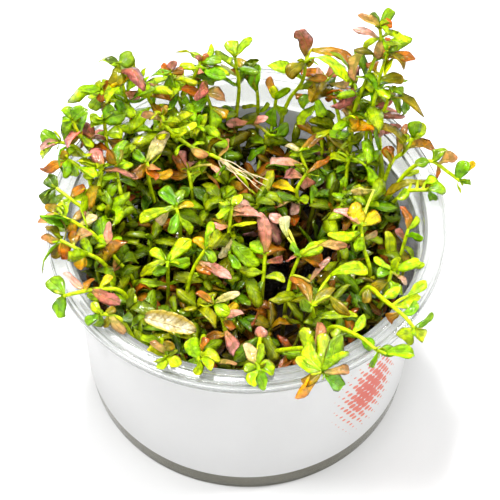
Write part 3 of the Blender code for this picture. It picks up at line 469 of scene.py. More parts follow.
def culture_medium():
    """Moist brown medium: olive-grey at the wall; on top wet, near black with dead matter and painted shade.
    """
    made, tree, output = new_material("culture_medium")
    place = add_node(tree, "TexCoord").outputs["Object"]
    level = add_node(tree, "SeparateXYZ", {0: place}).outputs["Z"]
    grains = grained(tree, 900.0, 6.0)
    patches = grained(tree, 120.0, 3.0)
    side = mixed(tree, grains, *SIDE_COLOURS)
    side = mixed(tree, between(tree, patches, 0.5, 0.75, 0.0, 0.5), side, PATCH_COLOUR)
    # The top is painted near black, partly as painted shade under the clump
    top = mixed(tree, grains, *TOP_DEBRIS_AND_SHADE_COLOURS)
    colour = mixed(tree, between(tree, level, *((MEDIUM_TOP - d) * MM for d in TOP_FADE)), side, top)
    shader = add_node(tree, "BsdfPrincipled", {
        "Base Color": colour, "Roughness": between(tree, grains, 0.3, 0.7, 0.25, 0.6), "Coat Weight": 0.3,
        "Coat Roughness": 0.1, "Normal": bumped(tree, grains, 0.6)})
    surfaced(tree, output, shader)
    return made


def make_medium():
    """The disc of medium, lumpy on top."""
    profile = [(MEDIUM_RADIUS * k / MEDIUM_RINGS, MEDIUM_TOP) for k in range(MEDIUM_RINGS + 1)]
    profile += [(MEDIUM_RADIUS, MEDIUM_TOP - EDGE_DROP), (MEDIUM_RADIUS, MEDIUM_BOTTOM + CUP_CORNER)]
    profile += [(MEDIUM_RADIUS - CUP_CORNER, MEDIUM_BOTTOM), (0.0, MEDIUM_BOTTOM)]
    medium = turned("medium_lumpy", profile, MEDIUM_TURNS)
    for vert in medium.data.vertices:
        if vert.co.z > (MEDIUM_TOP - LUMP_LEVEL) * MM:
            lump = noise.fractal(vert.co * LUMP_SWINGS, *LUMP_LAYERS) - LUMP_CUT
            vert.co.z += min(lump, 0.0) * LUMP_DEPTH * MM
    medium.data.materials.append(culture_medium())
    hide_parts("growth_medium")


make_medium()


# Shoots: thin round stems rooted in the medium, each grown in one piece with oval leaves on short stalks,
# which are yellow-green when young, then olive, orange, pink and brown. They are followed from the packed
# solids along the sight lines; Geometry Nodes grow the stems, set the small leaves and crinkle the blades.

# Each shoot's stem as points: pixel across, pixel down, and mm over the rim. Then its leaves: the pixels of
# the stalk and the tip, the width in mm, the kind by its letter, and how far the tip rises and, where it
# does, the blade arches in mm.
SHOOTS = {
    "back_left_tall": (
        [(133, 112, 0), (123, 86, 7), (118, 63, 13)],
        [(118, 66, 112, 86, 2.6, "o", -2), (119, 64, 131, 57, 2.4, "G", 2), (118, 63, 106, 58, 1.8, "d", 1),
         (120, 64, 128, 72, 1.8, "y", 0), (124, 92, 140, 97, 1.6, "p", 0),
         (131, 104, 116, 101, 1.8, "G", 1)]),
    "back_left_low": (
        [(120, 116, 0), (110, 100, 5), (102, 90, 8)],
        [(100, 88, 78, 91, 1.8, "G", 0, 1), (103, 90, 113, 83, 1.6, "b", 1),
         (102, 92, 100, 102, 1.8, "b", -1), (104, 94, 92, 110, 2.0, "g", -2),
         (112, 102, 102, 112, 1.6, "o", -1), (114, 108, 126, 116, 2.0, "G", 0)]),
    "back_left_fold": (
        [(156, 118, -1), (148, 97, 4), (142, 80, 9)],
        [(140, 77, 127, 89, 1.6, "g", -2, 1), (142, 79, 146, 98, 2.6, "g", -3, 1),
         (145, 86, 155, 84, 1.2, "t", 1), (148, 90, 161, 89, 1.8, "o", 0),
         (148, 97, 132, 104, 1.8, "G", -1), (150, 104, 166, 125, 1.8, "b", -2),
         (150, 97, 174, 98, 1.2, "b", 0, 0.5), (152, 106, 180, 112, 2.4, "g", -1)]),
    "back_cluster": (
        [(184, 115, -4), (175, 90, 4), (171, 72, 9)],
        [(170, 70, 163, 65, 1.8, "b", 2), (172, 70, 184, 73, 1.6, "b", 0), (171, 69, 176, 61, 1.2, "u", 2),
         (168, 76, 165, 91, 1.8, "G", -3), (171, 78, 178, 92, 1.8, "g", -2),
         (166, 70, 158, 72, 1.0, "G", 1), (179, 98, 192, 104, 1.6, "G", -1)]),
    "back_sprig": (
        [(194, 112, -4), (190, 90, 2), (196, 72, 8), (201, 62, 10)],
        [(197, 66, 180, 66, 1.6, "g", 0), (201, 60, 223, 60, 1.8, "G", 1, 0.5),
         (199, 60, 197, 54, 1.0, "u", 2), (205, 60, 208, 53, 1.0, "b", 2),
         (203, 70, 226, 76, 1.6, "G", -1, 0.5), (194, 76, 182, 87, 1.4, "g", -2),
         (200, 78, 213, 84, 1.4, "d", -2)]),
    "back_tan": (
        [(216, 142, -9), (213, 116, -2), (206, 92, 3)],
        [(206, 82, 195, 98, 2.2, "u", -2), (208, 88, 224, 95, 2.4, "t", 0), (202, 92, 184, 88, 2.0, "b", 0),
         (206, 100, 190, 112, 2.4, "G", -1), (215, 104, 204, 120, 2.0, "G", -3),
         (214, 104, 216, 130, 2.4, "g", -4), (216, 104, 226, 118, 1.8, "y", -3),
         (204, 108, 184, 116, 1.6, "b", -1)]),
    "seedling": (
        [(236, 122, -9), (239, 88, 1), (235, 57, 11)],
        [(235, 57, 229, 39, 2.2, "g", 2), (235, 57, 252, 37, 1.6, "g", 2), (239, 78, 222, 64, 1.2, "w", 2),
         (240, 75, 231, 69, 1.0, "b", 1), (237, 112, 224, 106, 1.0, "G", 0)]),
    "bud": (
        [(257, 124, -13), (258, 104, -7), (257, 90, -2)],
        [(257, 90, 243, 62, 2.0, "o", 6), (258, 90, 257, 67, 1.8, "G", 6),
         (257, 106, 241, 110, 1.0, "g", -1, 0.6), (257, 112, 269, 104, 0.8, "g", 1)]),
    "back_fold": (
        [(270, 140, -13), (273, 120, -8), (276, 99, -2)],
        [(276, 96, 269, 78, 1.2, "b", 3), (277, 98, 288, 86, 1.8, "g", 1), (275, 101, 267, 88, 1.8, "g", 1),
         (274, 106, 271, 126, 2.4, "G", -4), (277, 104, 283, 116, 1.6, "g", -3),
         (271, 132, 290, 124, 1.6, "G", 0)]),
    "pink_top": (
        [(281, 124, -9), (289, 100, -3), (302, 82, 4), (306, 62, 9)],
        [(306, 56, 297, 28, 2.6, "u", 8), (305, 62, 288, 78, 2.2, "o", -3, 1),
         (308, 58, 315, 66, 1.6, "o", 0), (311, 50, 352, 66, 2.2, "b", -2, 1.2),
         (314, 58, 348, 74, 2.2, "g", -2, 1), (293, 92, 304, 99, 1.0, "b", -1)]),
    "pink_red": (
        [(340, 138, -6), (336, 106, 0), (326, 82, 5)],
        [(322, 72, 300, 73, 1.8, "b", 0, 0.6), (324, 76, 317, 86, 2.2, "u", -2),
         (326, 76, 345, 68, 2.4, "p", 1), (330, 82, 353, 84, 1.2, "t", -1), (326, 78, 312, 66, 1.6, "p", 1),
         (332, 88, 343, 100, 1.6, "G", -2), (334, 98, 326, 102, 1.4, "b", -1)]),
    "back_mass": (
        [(322, 150, -10), (318, 120, -4), (316, 90, 2)],
        [(316, 88, 308, 78, 1.6, "g", 2), (316, 92, 331, 93, 2.0, "o", 1),
         (315, 96, 299, 106, 2.0, "G", -2), (317, 98, 325, 117, 2.2, "g", -3),
         (316, 104, 303, 123, 1.8, "g", -4), (318, 112, 335, 118, 1.8, "g", -1),
         (320, 126, 333, 135, 1.6, "y", -1)]),
    "tall_right": (
        [(350, 150, -5), (354, 112, 4), (367, 78, 12), (380, 44, 20), (380, 28, 24)],
        [(378, 26, 359, 13, 1.6, "t", 3), (379, 25, 372, 11, 1.4, "d", 3), (380, 24, 391, 8, 1.8, "G", 3),
         (382, 26, 393, 23, 1.8, "b", 1), (379, 39, 362, 50, 1.2, "g", -2, 0.8),
         (383, 41, 376, 57, 1.6, "t", -4), (381, 41, 401, 43, 0.8, "g", 0),
         (364, 52, 354, 78, 2.6, "t", -6)]),
    "tall_right_two": (
        [(366, 142, -3), (374, 102, 7), (380, 76, 12), (388, 53, 18)],
        [(388, 53, 385, 40, 1.0, "g", 2), (392, 59, 414, 58, 1.8, "b", 0), (390, 58, 406, 68, 1.4, "o", -2),
         (389, 51, 397, 45, 1.2, "G", 1), (380, 79, 402, 79, 2.0, "o", 0), (376, 72, 370, 60, 1.8, "b", 2),
         (378, 86, 366, 90, 1.6, "g", -1), (377, 92, 362, 80, 1.8, "G", 1)]),
    "droop_right": (
        [(379, 130, -1), (386, 106, 5), (390, 90, 9)],
        [(388, 88, 372, 95, 1.0, "g", -2, 0.8), (391, 86, 405, 97, 1.8, "G", -1, 0.6),
         (401, 94, 404, 118, 1.4, "G", -6), (392, 96, 402, 113, 1.8, "g", -4),
         (386, 102, 395, 93, 1.6, "o", 1)]),
    "tan_round": (
        [(348, 160, -7), (349, 128, 0), (352, 100, 4), (353, 83, 9)],
        [(354, 80, 342, 50, 1.0, "G", 7), (353, 86, 352, 99, 1.8, "G", -3),
         (352, 92, 344, 105, 1.4, "g", -3), (351, 102, 359, 110, 1.6, "w", -1),
         (348, 122, 345, 106, 2.6, "t", 2), (351, 126, 359, 121, 2.2, "y", 0),
         (350, 134, 331, 137, 2.0, "G", -1), (350, 132, 372, 128, 2.0, "y", 0)]),
    "salmon": (
        [(370, 154, -5), (370, 128, 1), (367, 108, 4)],
        [(367, 107, 395, 94, 1.8, "o", 2, 0.6), (369, 108, 392, 102, 1.0, "u", 0),
         (365, 108, 352, 104, 1.8, "g", 1), (371, 116, 397, 114, 2.0, "p", 1),
         (370, 120, 366, 112, 1.6, "p", 1), (371, 126, 381, 138, 2.4, "p", -2),
         (371, 128, 385, 132, 1.6, "y", -1), (372, 140, 399, 127, 1.2, "u", 2)]),
    "right_top_pair": (
        [(382, 188, -8), (392, 162, -1), (404, 152, 2), (413, 138, 5)],
        [(413, 138, 416, 119, 2.2, "G", 4), (414, 138, 424, 122, 2.0, "g", 3),
         (396, 152, 405, 124, 1.6, "t", 5), (411, 141, 400, 138, 1.4, "g", 0),
         (392, 160, 386, 147, 1.8, "b", 2), (391, 165, 381, 150, 1.6, "o", 1)]),
    "curl": (
        [(345, 186, -10), (347, 168, -6), (350, 157, -3)],
        [(338, 152, 366, 130, 1.4, "g", 2, 1), (346, 152, 329, 136, 1.6, "o", 1),
         (342, 158, 328, 153, 1.6, "g", 0), (351, 162, 374, 156, 2.2, "g", 1, 1),
         (366, 166, 382, 195, 2.0, "g", -3, 0.6), (348, 168, 336, 170, 1.8, "G", -1),
         (356, 152, 374, 146, 1.6, "d", 2), (347, 176, 340, 198, 1.8, "g", -3)]),
    "right_long": (
        [(386, 200, -9), (408, 171, -1), (430, 161, 3), (448, 172, 2), (460, 181, 1)],
        [(434, 160, 448, 150, 2.0, "G", 3), (440, 159, 458, 163, 2.4, "t", 2),
         (459, 178, 465, 162, 2.2, "G", 3), (464, 170, 476, 163, 1.6, "y", 2),
         (457, 181, 471, 183, 1.2, "G", -1), (436, 166, 438, 179, 0.8, "b", -3),
         (429, 160, 417, 163, 1.4, "G", 1), (402, 175, 419, 173, 1.0, "g", 0)]),
    "right_mid": (
        [(390, 208, -8), (406, 192, 0), (428, 190, 2)],
        [(428, 187, 445, 187, 2.2, "G", 1), (430, 191, 432, 209, 1.2, "G", -4),
         (412, 183, 430, 188, 1.6, "o", 0), (418, 181, 384, 185, 1.8, "o", -1),
         (408, 191, 398, 197, 2.0, "g", 0), (425, 183, 439, 179, 1.6, "g", 1)]),
    "dark_round": (
        [(314, 204, -14), (310, 180, -9), (300, 152, -4)],
        [(314, 188, 320, 169, 2.6, "d", 2), (312, 194, 330, 186, 1.4, "u", 1),
         (310, 182, 316, 205, 1.8, "G", -2), (300, 152, 288, 144, 1.2, "w", 1),
         (300, 158, 288, 155, 1.6, "g", 0), (303, 147, 321, 136, 1.6, "b", 1),
         (305, 145, 333, 130, 1.2, "g", 2), (303, 151, 321, 148, 1.6, "G", 0)]),
    "pink_big": (
        [(299, 210, -14), (297, 190, -9), (306, 174, -6)],
        [(301, 164, 270, 170, 2.0, "p", 0, 0.6), (304, 176, 282, 176, 2.0, "p", -1),
         (302, 174, 307, 188, 2.6, "p", -2), (307, 171, 331, 158, 1.0, "b", 2),
         (298, 192, 270, 185, 1.8, "y", 0, 0.8), (298, 196, 272, 201, 1.6, "t", 0),
         (298, 198, 310, 202, 1.6, "g", -1), (299, 200, 292, 214, 1.6, "p", -1)]),
    "back_low": (
        [(258, 172, -15), (264, 150, -12), (270, 136, -9)],
        [(276, 136, 288, 125, 1.6, "G", 1), (264, 146, 245, 156, 1.8, "G", -1),
         (252, 124, 224, 120, 1.4, "p", 1), (254, 124, 264, 118, 1.8, "p", 1),
         (262, 142, 248, 132, 1.8, "g", 0), (268, 142, 296, 142, 1.6, "d", 0),
         (264, 150, 284, 154, 1.6, "b", -1)]),
    "cutting": (
        [(247, 188, -8), (236, 172, -4), (218, 158, -1), (190, 146, 2), (168, 128, 6), (162, 115, 8)],
        [(162, 115, 168, 106, 1.6, "o", 2), (164, 122, 140, 112, 1.4, "t", 0),
         (171, 129, 197, 126, 1.4, "g", 0), (191, 147, 207, 158, 1.6, "t", -2),
         (189, 146, 205, 140, 0.8, "g", 0), (220, 157, 228, 136, 1.0, "t", 1)]),
    "middle_pink": (
        [(193, 202, -10), (191, 184, -6), (188, 170, -4)],
        [(187, 169, 182, 152, 1.8, "p", 2), (188, 168, 194, 157, 1.6, "p", 1),
         (186, 176, 172, 177, 2.2, "b", -1), (190, 184, 207, 163, 1.8, "g", 1, 0.5),
         (192, 188, 181, 196, 1.8, "G", -1), (187, 174, 172, 160, 1.8, "b", 1),
         (212, 165, 219, 177, 1.4, "p", -1), (206, 172, 218, 190, 0.8, "b", -2),
         (196, 188, 212, 200, 2.0, "d", -1)]),
    "pale_patterned": (
        [(150, 186, -4), (148, 172, -1), (146, 163, 1)],
        [(146, 161, 165, 131, 2.2, "w", 4), (146, 162, 134, 151, 2.0, "G", 1),
         (147, 167, 131, 176, 2.4, "b", -2), (148, 168, 153, 182, 2.0, "b", -3),
         (148, 166, 159, 173, 1.4, "t", -1), (150, 176, 171, 172, 1.8, "y", -1),
         (148, 171, 163, 152, 1.6, "g", 2)]),
    "olive_left": (
        [(123, 200, -2), (118, 179, 1), (116, 166, 3)],
        [(115, 164, 118, 149, 2.0, "o", 2), (116, 164, 105, 151, 1.8, "b", 1),
         (117, 169, 110, 178, 1.6, "o", -2), (118, 172, 131, 160, 1.8, "g", 1),
         (119, 180, 136, 187, 1.6, "d", -1), (120, 183, 109, 198, 2.2, "g", -2),
         (117, 161, 125, 140, 1.6, "G", 3)]),
    "pink_left": (
        [(100, 194, 0), (101, 177, 2), (103, 166, 4)],
        [(104, 162, 92, 148, 2.2, "p", 1), (104, 163, 105, 151, 1.6, "p", 1),
         (102, 170, 81, 160, 1.4, "g", 1), (102, 172, 85, 182, 1.4, "g", -1),
         (101, 178, 119, 182, 1.4, "g", -1)]),
    "left_mass": (
        [(110, 154, 0), (106, 134, 4), (104, 120, 7)],
        [(105, 122, 91, 128, 2.2, "g", 0), (106, 128, 96, 141, 2.2, "g", -2),
         (105, 120, 113, 107, 2.0, "G", 2), (104, 120, 121, 118, 2.2, "G", 1),
         (104, 118, 88, 118, 1.8, "g", 1), (107, 134, 123, 136, 2.4, "g", -1),
         (94, 138, 84, 121, 2.4, "u", 2), (107, 140, 121, 145, 1.8, "b", -1)]),
    "left_outer": (
        [(94, 156, 0), (79, 134, 6), (72, 120, 9)],
        [(72, 118, 63, 107, 2.0, "G", 1), (73, 118, 85, 107, 2.2, "G", 2), (74, 122, 61, 125, 1.8, "G", 0),
         (75, 128, 66, 143, 1.8, "G", -3), (80, 136, 92, 146, 1.6, "g", -1)]),
    "left_pair": (
        [(90, 172, 0), (77, 148, 3), (60, 142, 4)],
        [(57, 140, 42, 133, 2.6, "G", 1), (58, 146, 40, 149, 1.6, "p", 0), (66, 144, 81, 138, 1.0, "o", 1),
         (75, 145, 79, 158, 1.8, "g", -2), (76, 149, 64, 155, 1.6, "g", -1),
         (72, 144, 66, 131, 1.4, "G", 2)]),
    "left_brown": (
        [(91, 186, -1), (79, 167, 2), (67, 159, 3)],
        [(62, 160, 40, 171, 1.8, "b", -1), (68, 160, 64, 177, 2.4, "G", -3),
         (70, 161, 75, 175, 2.0, "g", -3), (66, 158, 63, 150, 1.4, "o", 2),
         (80, 168, 95, 177, 1.6, "g", -1)]),
    "left_dark": (
        [(94, 218, -1), (73, 201, 3), (56, 188, 4)],
        [(54, 186, 46, 177, 2.4, "d", 1), (54, 189, 42, 202, 2.2, "d", -2),
         (62, 194, 48, 210, 1.8, "d", -2), (71, 199, 85, 186, 1.4, "b", 1), (74, 202, 91, 195, 1.8, "g", 0),
         (80, 206, 91, 221, 1.6, "w", -2), (70, 200, 60, 212, 1.8, "g", -2)]),
    "left_tan": (
        [(100, 242, -1), (79, 225, 3), (60, 216, 4)],
        [(58, 214, 37, 217, 1.8, "t", 0), (60, 217, 62, 237, 2.4, "g", -3), (64, 217, 60, 203, 2.0, "g", 1),
         (72, 221, 85, 211, 1.6, "t", 1), (60, 216, 46, 203, 1.6, "o", 1), (80, 226, 97, 218, 1.4, "w", 0),
         (70, 221, 75, 233, 1.6, "y", -2)]),
    "left_low": (
        [(106, 266, -2), (81, 251, 3), (60, 240, 4)],
        [(56, 238, 41, 238, 1.6, "t", 0), (58, 240, 46, 224, 1.4, "o", 1), (62, 244, 66, 260, 2.4, "b", -2),
         (76, 241, 91, 232, 1.8, "t", 2), (72, 246, 73, 231, 2.0, "b", 1), (60, 243, 52, 257, 1.4, "o", -3),
         (84, 253, 78, 269, 2.2, "y", -2), (90, 255, 80, 236, 1.8, "g", 2)]),
    "left_over": (
        [(124, 294, -1), (100, 289, 2), (76, 293, 4), (64, 296, 3)],
        [(64, 292, 48, 279, 2.6, "G", 0), (63, 299, 58, 317, 2.6, "G", -4), (84, 287, 65, 271, 1.4, "p", 1),
         (84, 289, 93, 278, 1.6, "b", 1), (92, 295, 121, 301, 2.2, "u", -1),
         (100, 288, 111, 275, 1.4, "y", 1), (104, 291, 90, 301, 1.8, "g", -1)]),
    "left_inner": (
        [(132, 278, -8), (116, 259, -3), (108, 246, 0)],
        [(108, 246, 96, 235, 1.6, "g", 1), (110, 247, 119, 237, 1.6, "g", 1),
         (112, 252, 97, 263, 1.8, "o", -1), (114, 257, 119, 272, 1.4, "t", -3),
         (109, 244, 113, 226, 1.8, "p", 1), (120, 264, 140, 256, 1.8, "d", -1)]),
    "lower_left": (
        [(126, 326, -1), (114, 316, 2), (100, 314, 3)],
        [(100, 314, 84, 322, 1.8, "G", -1), (102, 314, 94, 326, 2.0, "G", -3),
         (106, 315, 112, 306, 1.6, "o", 1), (110, 318, 122, 334, 1.8, "t", -3),
         (100, 312, 92, 303, 1.4, "g", 1), (112, 315, 104, 325, 1.4, "o", -3),
         (118, 322, 133, 318, 1.8, "d", 0)]),
    "middle_fold": (
        [(181, 244, -9), (180, 224, -4), (176, 206, -1)],
        [(174, 204, 160, 189, 2.2, "G", 1), (176, 204, 183, 189, 2.0, "G", 1),
         (170, 208, 139, 221, 1.6, "g", -2, 0.6), (177, 208, 193, 206, 1.2, "y", 0),
         (168, 211, 159, 222, 1.8, "w", -2), (179, 216, 191, 234, 1.4, "g", -3),
         (178, 214, 168, 232, 1.6, "G", -4)]),
    "middle_cross": (
        [(170, 310, -16), (168, 285, -9), (168, 262, -3)],
        [(166, 260, 141, 275, 1.6, "g", -1, 0.6), (169, 260, 190, 238, 2.6, "g", 1),
         (167, 261, 152, 250, 1.4, "g", 1), (169, 262, 191, 263, 1.6, "G", -1),
         (167, 284, 129, 286, 1.4, "g", 1), (169, 284, 200, 272, 1.2, "g", 2),
         (167, 268, 153, 271, 1.8, "G", -3)]),
    "middle_cross_two": (
        [(187, 316, -16), (187, 292, -9), (194, 268, -4), (205, 250, 0)],
        [(205, 249, 196, 238, 1.4, "y", 1), (206, 251, 214, 262, 1.4, "g", -1),
         (200, 262, 232, 278, 1.8, "p", -1), (194, 268, 209, 274, 1.6, "b", 0),
         (206, 249, 210, 221, 1.4, "g", 3)]),
    "middle_pale": (
        [(233, 284, -10), (230, 258, -5), (229, 232, 0), (232, 206, 4)],
        [(227, 232, 221, 259, 1.6, "w", -3), (231, 207, 215, 218, 1.2, "g", 0),
         (233, 204, 241, 195, 1.6, "g", 1), (231, 238, 259, 265, 2.8, "g", -3),
         (232, 210, 250, 204, 1.8, "p", 0), (232, 216, 260, 213, 1.8, "p", 0),
         (230, 224, 211, 227, 1.2, "p", 0), (229, 254, 240, 268, 1.6, "G", -2)]),
    "middle_purple": (
        [(262, 294, -12), (264, 272, -7), (265, 254, -4)],
        [(265, 250, 263, 214, 2.2, "p", 5), (264, 254, 252, 240, 2.4, "g", 1),
         (265, 262, 281, 257, 1.4, "u", -2), (263, 272, 240, 270, 1.4, "g", 1),
         (264, 276, 283, 284, 1.2, "g", -1), (263, 280, 253, 294, 1.4, "G", -2)]),
    "middle_right": (
        [(286, 304, -12), (291, 278, -7), (299, 257, -3)],
        [(298, 254, 322, 246, 2.0, "g", 1, 0.8), (298, 258, 286, 257, 2.0, "p", -1),
         (300, 256, 290, 243, 1.6, "G", 1), (302, 257, 323, 264, 2.6, "b", -2),
         (318, 246, 346, 246, 1.6, "t", 1), (310, 282, 331, 258, 1.2, "p", 3),
         (284, 222, 270, 216, 1.8, "p", 1), (288, 238, 284, 216, 1.8, "w", 2)]),
    "right_yellow": (
        [(370, 274, -10), (364, 248, -5), (361, 226, -1)],
        [(374, 190, 352, 197, 1.8, "w", 1), (361, 228, 355, 202, 2.6, "y", 3),
         (363, 226, 381, 213, 2.2, "y", 0), (360, 224, 337, 208, 1.4, "p", 2),
         (361, 232, 330, 240, 1.8, "g", -1), (362, 238, 357, 250, 1.8, "g", -4),
         (364, 240, 378, 230, 1.2, "t", 1)]),
    "v_shape": (
        [(318, 330, -10), (314, 316, -5), (312, 306, -2)],
        [(311, 306, 292, 276, 1.8, "b", 2), (314, 306, 331, 286, 1.8, "o", 2),
         (310, 312, 300, 300, 1.6, "d", 0), (316, 318, 355, 313, 1.4, "g", 3),
         (330, 296, 352, 315, 1.8, "o", -1), (330, 276, 368, 270, 2.2, "g", 1, 1.2)]),
    "right_wall": (
        [(398, 262, -12), (404, 244, -8), (408, 230, -5)],
        [(408, 228, 404, 206, 1.6, "b", 2), (410, 230, 420, 216, 1.2, "g", 2),
         (407, 236, 421, 240, 1.4, "G", 0), (390, 262, 388, 233, 1.8, "g", 5),
         (406, 240, 396, 228, 1.6, "u", 0), (404, 246, 421, 262, 1.4, "g", -2),
         (402, 250, 408, 262, 1.6, "o", -2)]),
    "right_cluster": (
        [(382, 302, -8), (388, 284, -3), (392, 270, 0)],
        [(392, 268, 375, 258, 1.6, "g", 1), (393, 268, 400, 258, 1.8, "g", 2),
         (394, 270, 420, 262, 1.8, "g", 1), (394, 272, 426, 268, 1.6, "g", 0),
         (392, 274, 376, 272, 1.8, "G", 0), (390, 278, 372, 292, 2.0, "o", -1),
         (391, 280, 402, 296, 1.6, "g", -2), (398, 276, 407, 284, 1.4, "p", 0)]),
    "right_over": (
        [(366, 288, -4), (384, 300, 1), (404, 316, 3), (414, 328, 2)],
        [(414, 328, 433, 314, 1.2, "G", 1), (415, 330, 429, 338, 2.4, "g", -2),
         (412, 330, 398, 342, 2.6, "g", -3), (404, 314, 420, 306, 1.6, "G", 0),
         (392, 306, 420, 296, 1.6, "g", 0), (400, 312, 388, 324, 1.6, "b", -2),
         (382, 298, 400, 290, 1.6, "g", 1), (374, 290, 366, 304, 1.8, "o", -2),
         (408, 296, 426, 284, 1.4, "g", 1)]),
    "right_front_over": (
        [(330, 328, -3), (356, 335, 1), (378, 351, 2)],
        [(378, 352, 396, 352, 2.0, "G", 0), (386, 354, 413, 354, 2.2, "g", -1),
         (377, 353, 371, 366, 0.8, "G", -3), (362, 340, 375, 348, 2.0, "G", -1),
         (352, 334, 368, 318, 1.6, "g", 2), (344, 331, 330, 336, 1.4, "g", 0)]),
    "front_right_cluster": (
        [(306, 348, -5), (312, 360, 1), (322, 372, 3)],
        [(320, 372, 302, 345, 2.2, "g", 2), (322, 370, 325, 334, 2.4, "g", 3),
         (324, 372, 340, 336, 2.4, "G", 3), (320, 374, 296, 362, 2.0, "g", 0),
         (318, 376, 302, 382, 1.8, "o", -2), (326, 374, 350, 368, 1.6, "t", 0),
         (326, 376, 344, 388, 2.6, "G", -4), (314, 366, 318, 324, 2.0, "t", 4)]),
    "front_shoot": (
        [(262, 330, -8), (258, 352, -2), (258, 366, 1)],
        [(257, 364, 247, 342, 2.2, "w", 2), (258, 366, 264, 344, 1.8, "g", 3),
         (257, 368, 246, 368, 1.6, "g", 0), (259, 368, 273, 372, 2.2, "g", -1),
         (258, 370, 252, 384, 2.0, "g", -2), (259, 371, 264, 386, 1.6, "G", -2),
         (262, 340, 262, 328, 1.8, "p", 3)]),
    "front_row_left": (
        [(162, 340, -6), (164, 350, 1), (167, 357, 3)],
        [(165, 357, 148, 350, 2.0, "g", 0), (166, 358, 160, 370, 1.8, "g", -1),
         (167, 358, 178, 370, 2.0, "g", -1), (165, 354, 152, 340, 1.6, "t", 2),
         (164, 352, 176, 344, 1.8, "o", 2), (160, 346, 142, 338, 1.8, "g", 2),
         (150, 340, 124, 345, 1.6, "t", -1)]),
    "front_row_right": (
        [(204, 336, -8), (200, 352, -2), (198, 360, 0)],
        [(198, 358, 188, 340, 2.6, "g", 2), (198, 360, 186, 370, 1.8, "g", -1),
         (199, 360, 196, 373, 1.8, "g", -1), (200, 360, 212, 368, 1.8, "g", 0),
         (201, 356, 220, 358, 1.8, "g", 1), (200, 352, 206, 338, 1.4, "b", 2),
         (214, 356, 238, 370, 1.2, "t", 0)]),
    "front_middle": (
        [(226, 334, -10), (222, 318, -5), (214, 304, -2)],
        [(213, 300, 240, 292, 1.4, "w", 1, 1.2), (212, 304, 230, 312, 2.0, "g", -1),
         (222, 316, 244, 312, 1.4, "p", 1), (226, 318, 236, 304, 1.6, "y", 2),
         (224, 322, 234, 330, 1.6, "b", -1), (228, 328, 239, 356, 1.8, "p", -2),
         (212, 302, 196, 294, 1.0, "b", 1), (226, 334, 206, 340, 1.6, "b", 0)]),
}

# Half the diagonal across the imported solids' stem tips and leaf stalks, by which their ends are found, and
# how far their corners may stray from the sight line, from the ring and from its middle
STEM_TIP_REACH = 0.38
PETIOLE_REACH = math.hypot(0.35, 0.25)
TIP_SHARE = 0.42
TIP_THICKNESS = 0.4
SIGHT_SLACK = 0.02
RING_SLACK = 0.04
MIDDLE_SLACK = 0.06
MOST_DROP = 5.0

# Stems: radii, and how the hidden part between the foot and the first point seen is led
STEM_FOOT = 0.52
STEM_TOP = 0.36
STEM_SIDES = 8
BRANCH_RADIUS = 0.33
BRANCH_GAP = 1.6
BRANCH_ARCH = 0.12
BRANCH_TAPER = 0.8
LONG_STEM = 9.0
MIDDLE_SHARES = (0.45, 0.55)
MIDDLE_LEAN = 0.15
NEAR_LEVEL = 6.0
PULL_REACH = 3.0
PULL_SHARE = 0.8
SHOWN_DEPTH = 1.0

# Share of a leaf's length, and of its greatest width there
LEAF_OUTLINE = ((0.0, 0.28), (0.09, 0.36), (0.20, 0.56), (0.31, 0.76), (0.42, 0.90), (0.53, 0.98),
                (0.64, 1.0), (0.75, 0.97), (0.85, 0.87), (0.93, 0.69), (0.98, 0.44), (1.0, 0.18))
SMALL_OUTLINE = ((0.0, 0.30), (0.18, 0.50), (0.36, 0.80), (0.55, 0.98), (0.74, 0.98), (0.90, 0.72),
                 (1.0, 0.18))
LEAF_THICKNESS = 0.2
LARGE_COLUMNS = 4
LARGE_CURL = 0.85
LARGE_WIDTH = 1.25
LARGE_ARCH = 0.05
SMALL_THICKNESS = 0.06
SMALL_COLUMNS = 2
SMALL_CURL = (0.8, 2.0)
SMALL_ARCH = (-0.02, 0.26)
SMALL_ASPECT = 0.37
# How much a blade is cupped, folded, twisted, hooked at its tip, swayed aside, waved and uneven, as a range
# or as a mean and a spread
CUPPED = (-0.2, 0.6)
FOLDED = (0.1, 0.45)
TWISTED = (0.0, 0.55)
HOOKED = (0.12, 0.20)
SWAYED = (-0.10, 0.10)
WAVED = (0.04, 0.22)
UNEVEN = (0.03, 0.14)
WAVE_SWINGS = (8.0, 2.2)
MARGIN_SWINGS = 4.5
TWIST_FOOT = 0.3
FULL_TURN = 6.3
TINT_STOPS = (0.0, 0.45, 1.0)
RIB_POINTS = 9

# A blade faces the first way, or the second one when it points almost along the first
FACING = ((0.0, -0.3, 1.0), (0.0, 1.0, 0.2))
LEAST_SIDE = 0.15

# Room that leaves and stems keep from the cup
WALL_MARGIN = 1.5
WALL_SLACK = 0.1
WALL_DEPTH = 2.2
RIM_DIP = 2.6
SETTLING_LENGTH = 3.0
STEM_GAP = 0.1
LARGE_GAP = 0.3
SMALL_GAP = 0.33
FLANGE_MARGIN = 0.6
CLEAR_POINTS = 8

# The youngest leaves round a tip, every other one of them more upright and shorter
CROWN_COUNT = 4
BUD_LEAVES = (1.6, 3.0)
CROWN_LEAN = (0.2, 0.6)
CROWN_WIDTH = (0.34, 0.46)
UPRIGHT_LEAN = 0.5
UPRIGHT_SHORTER = 0.3
CROWN_SINK = 0.2
TURN_STRAY = (-0.3, 0.3)

# The forms that the small leaves share, the crinkle of all the blades, and what each point says of its leaf
SMALL_FORMS = 16
FORM_SEED = 300
SHOOT_SEED = 100
CRINKLE_DEPTH = 0.5
CRINKLE_LENGTH = 3.0
CRINKLE_SEED = 3.0
CRINKLE_GAIN = 4.0
CRINKLE_RISE = (0.05, 0.5)
SPROUT_VALUES = ("spot", "along", "up", "size", "tint_low", "tint_middle", "tint_high", "form", "chance")

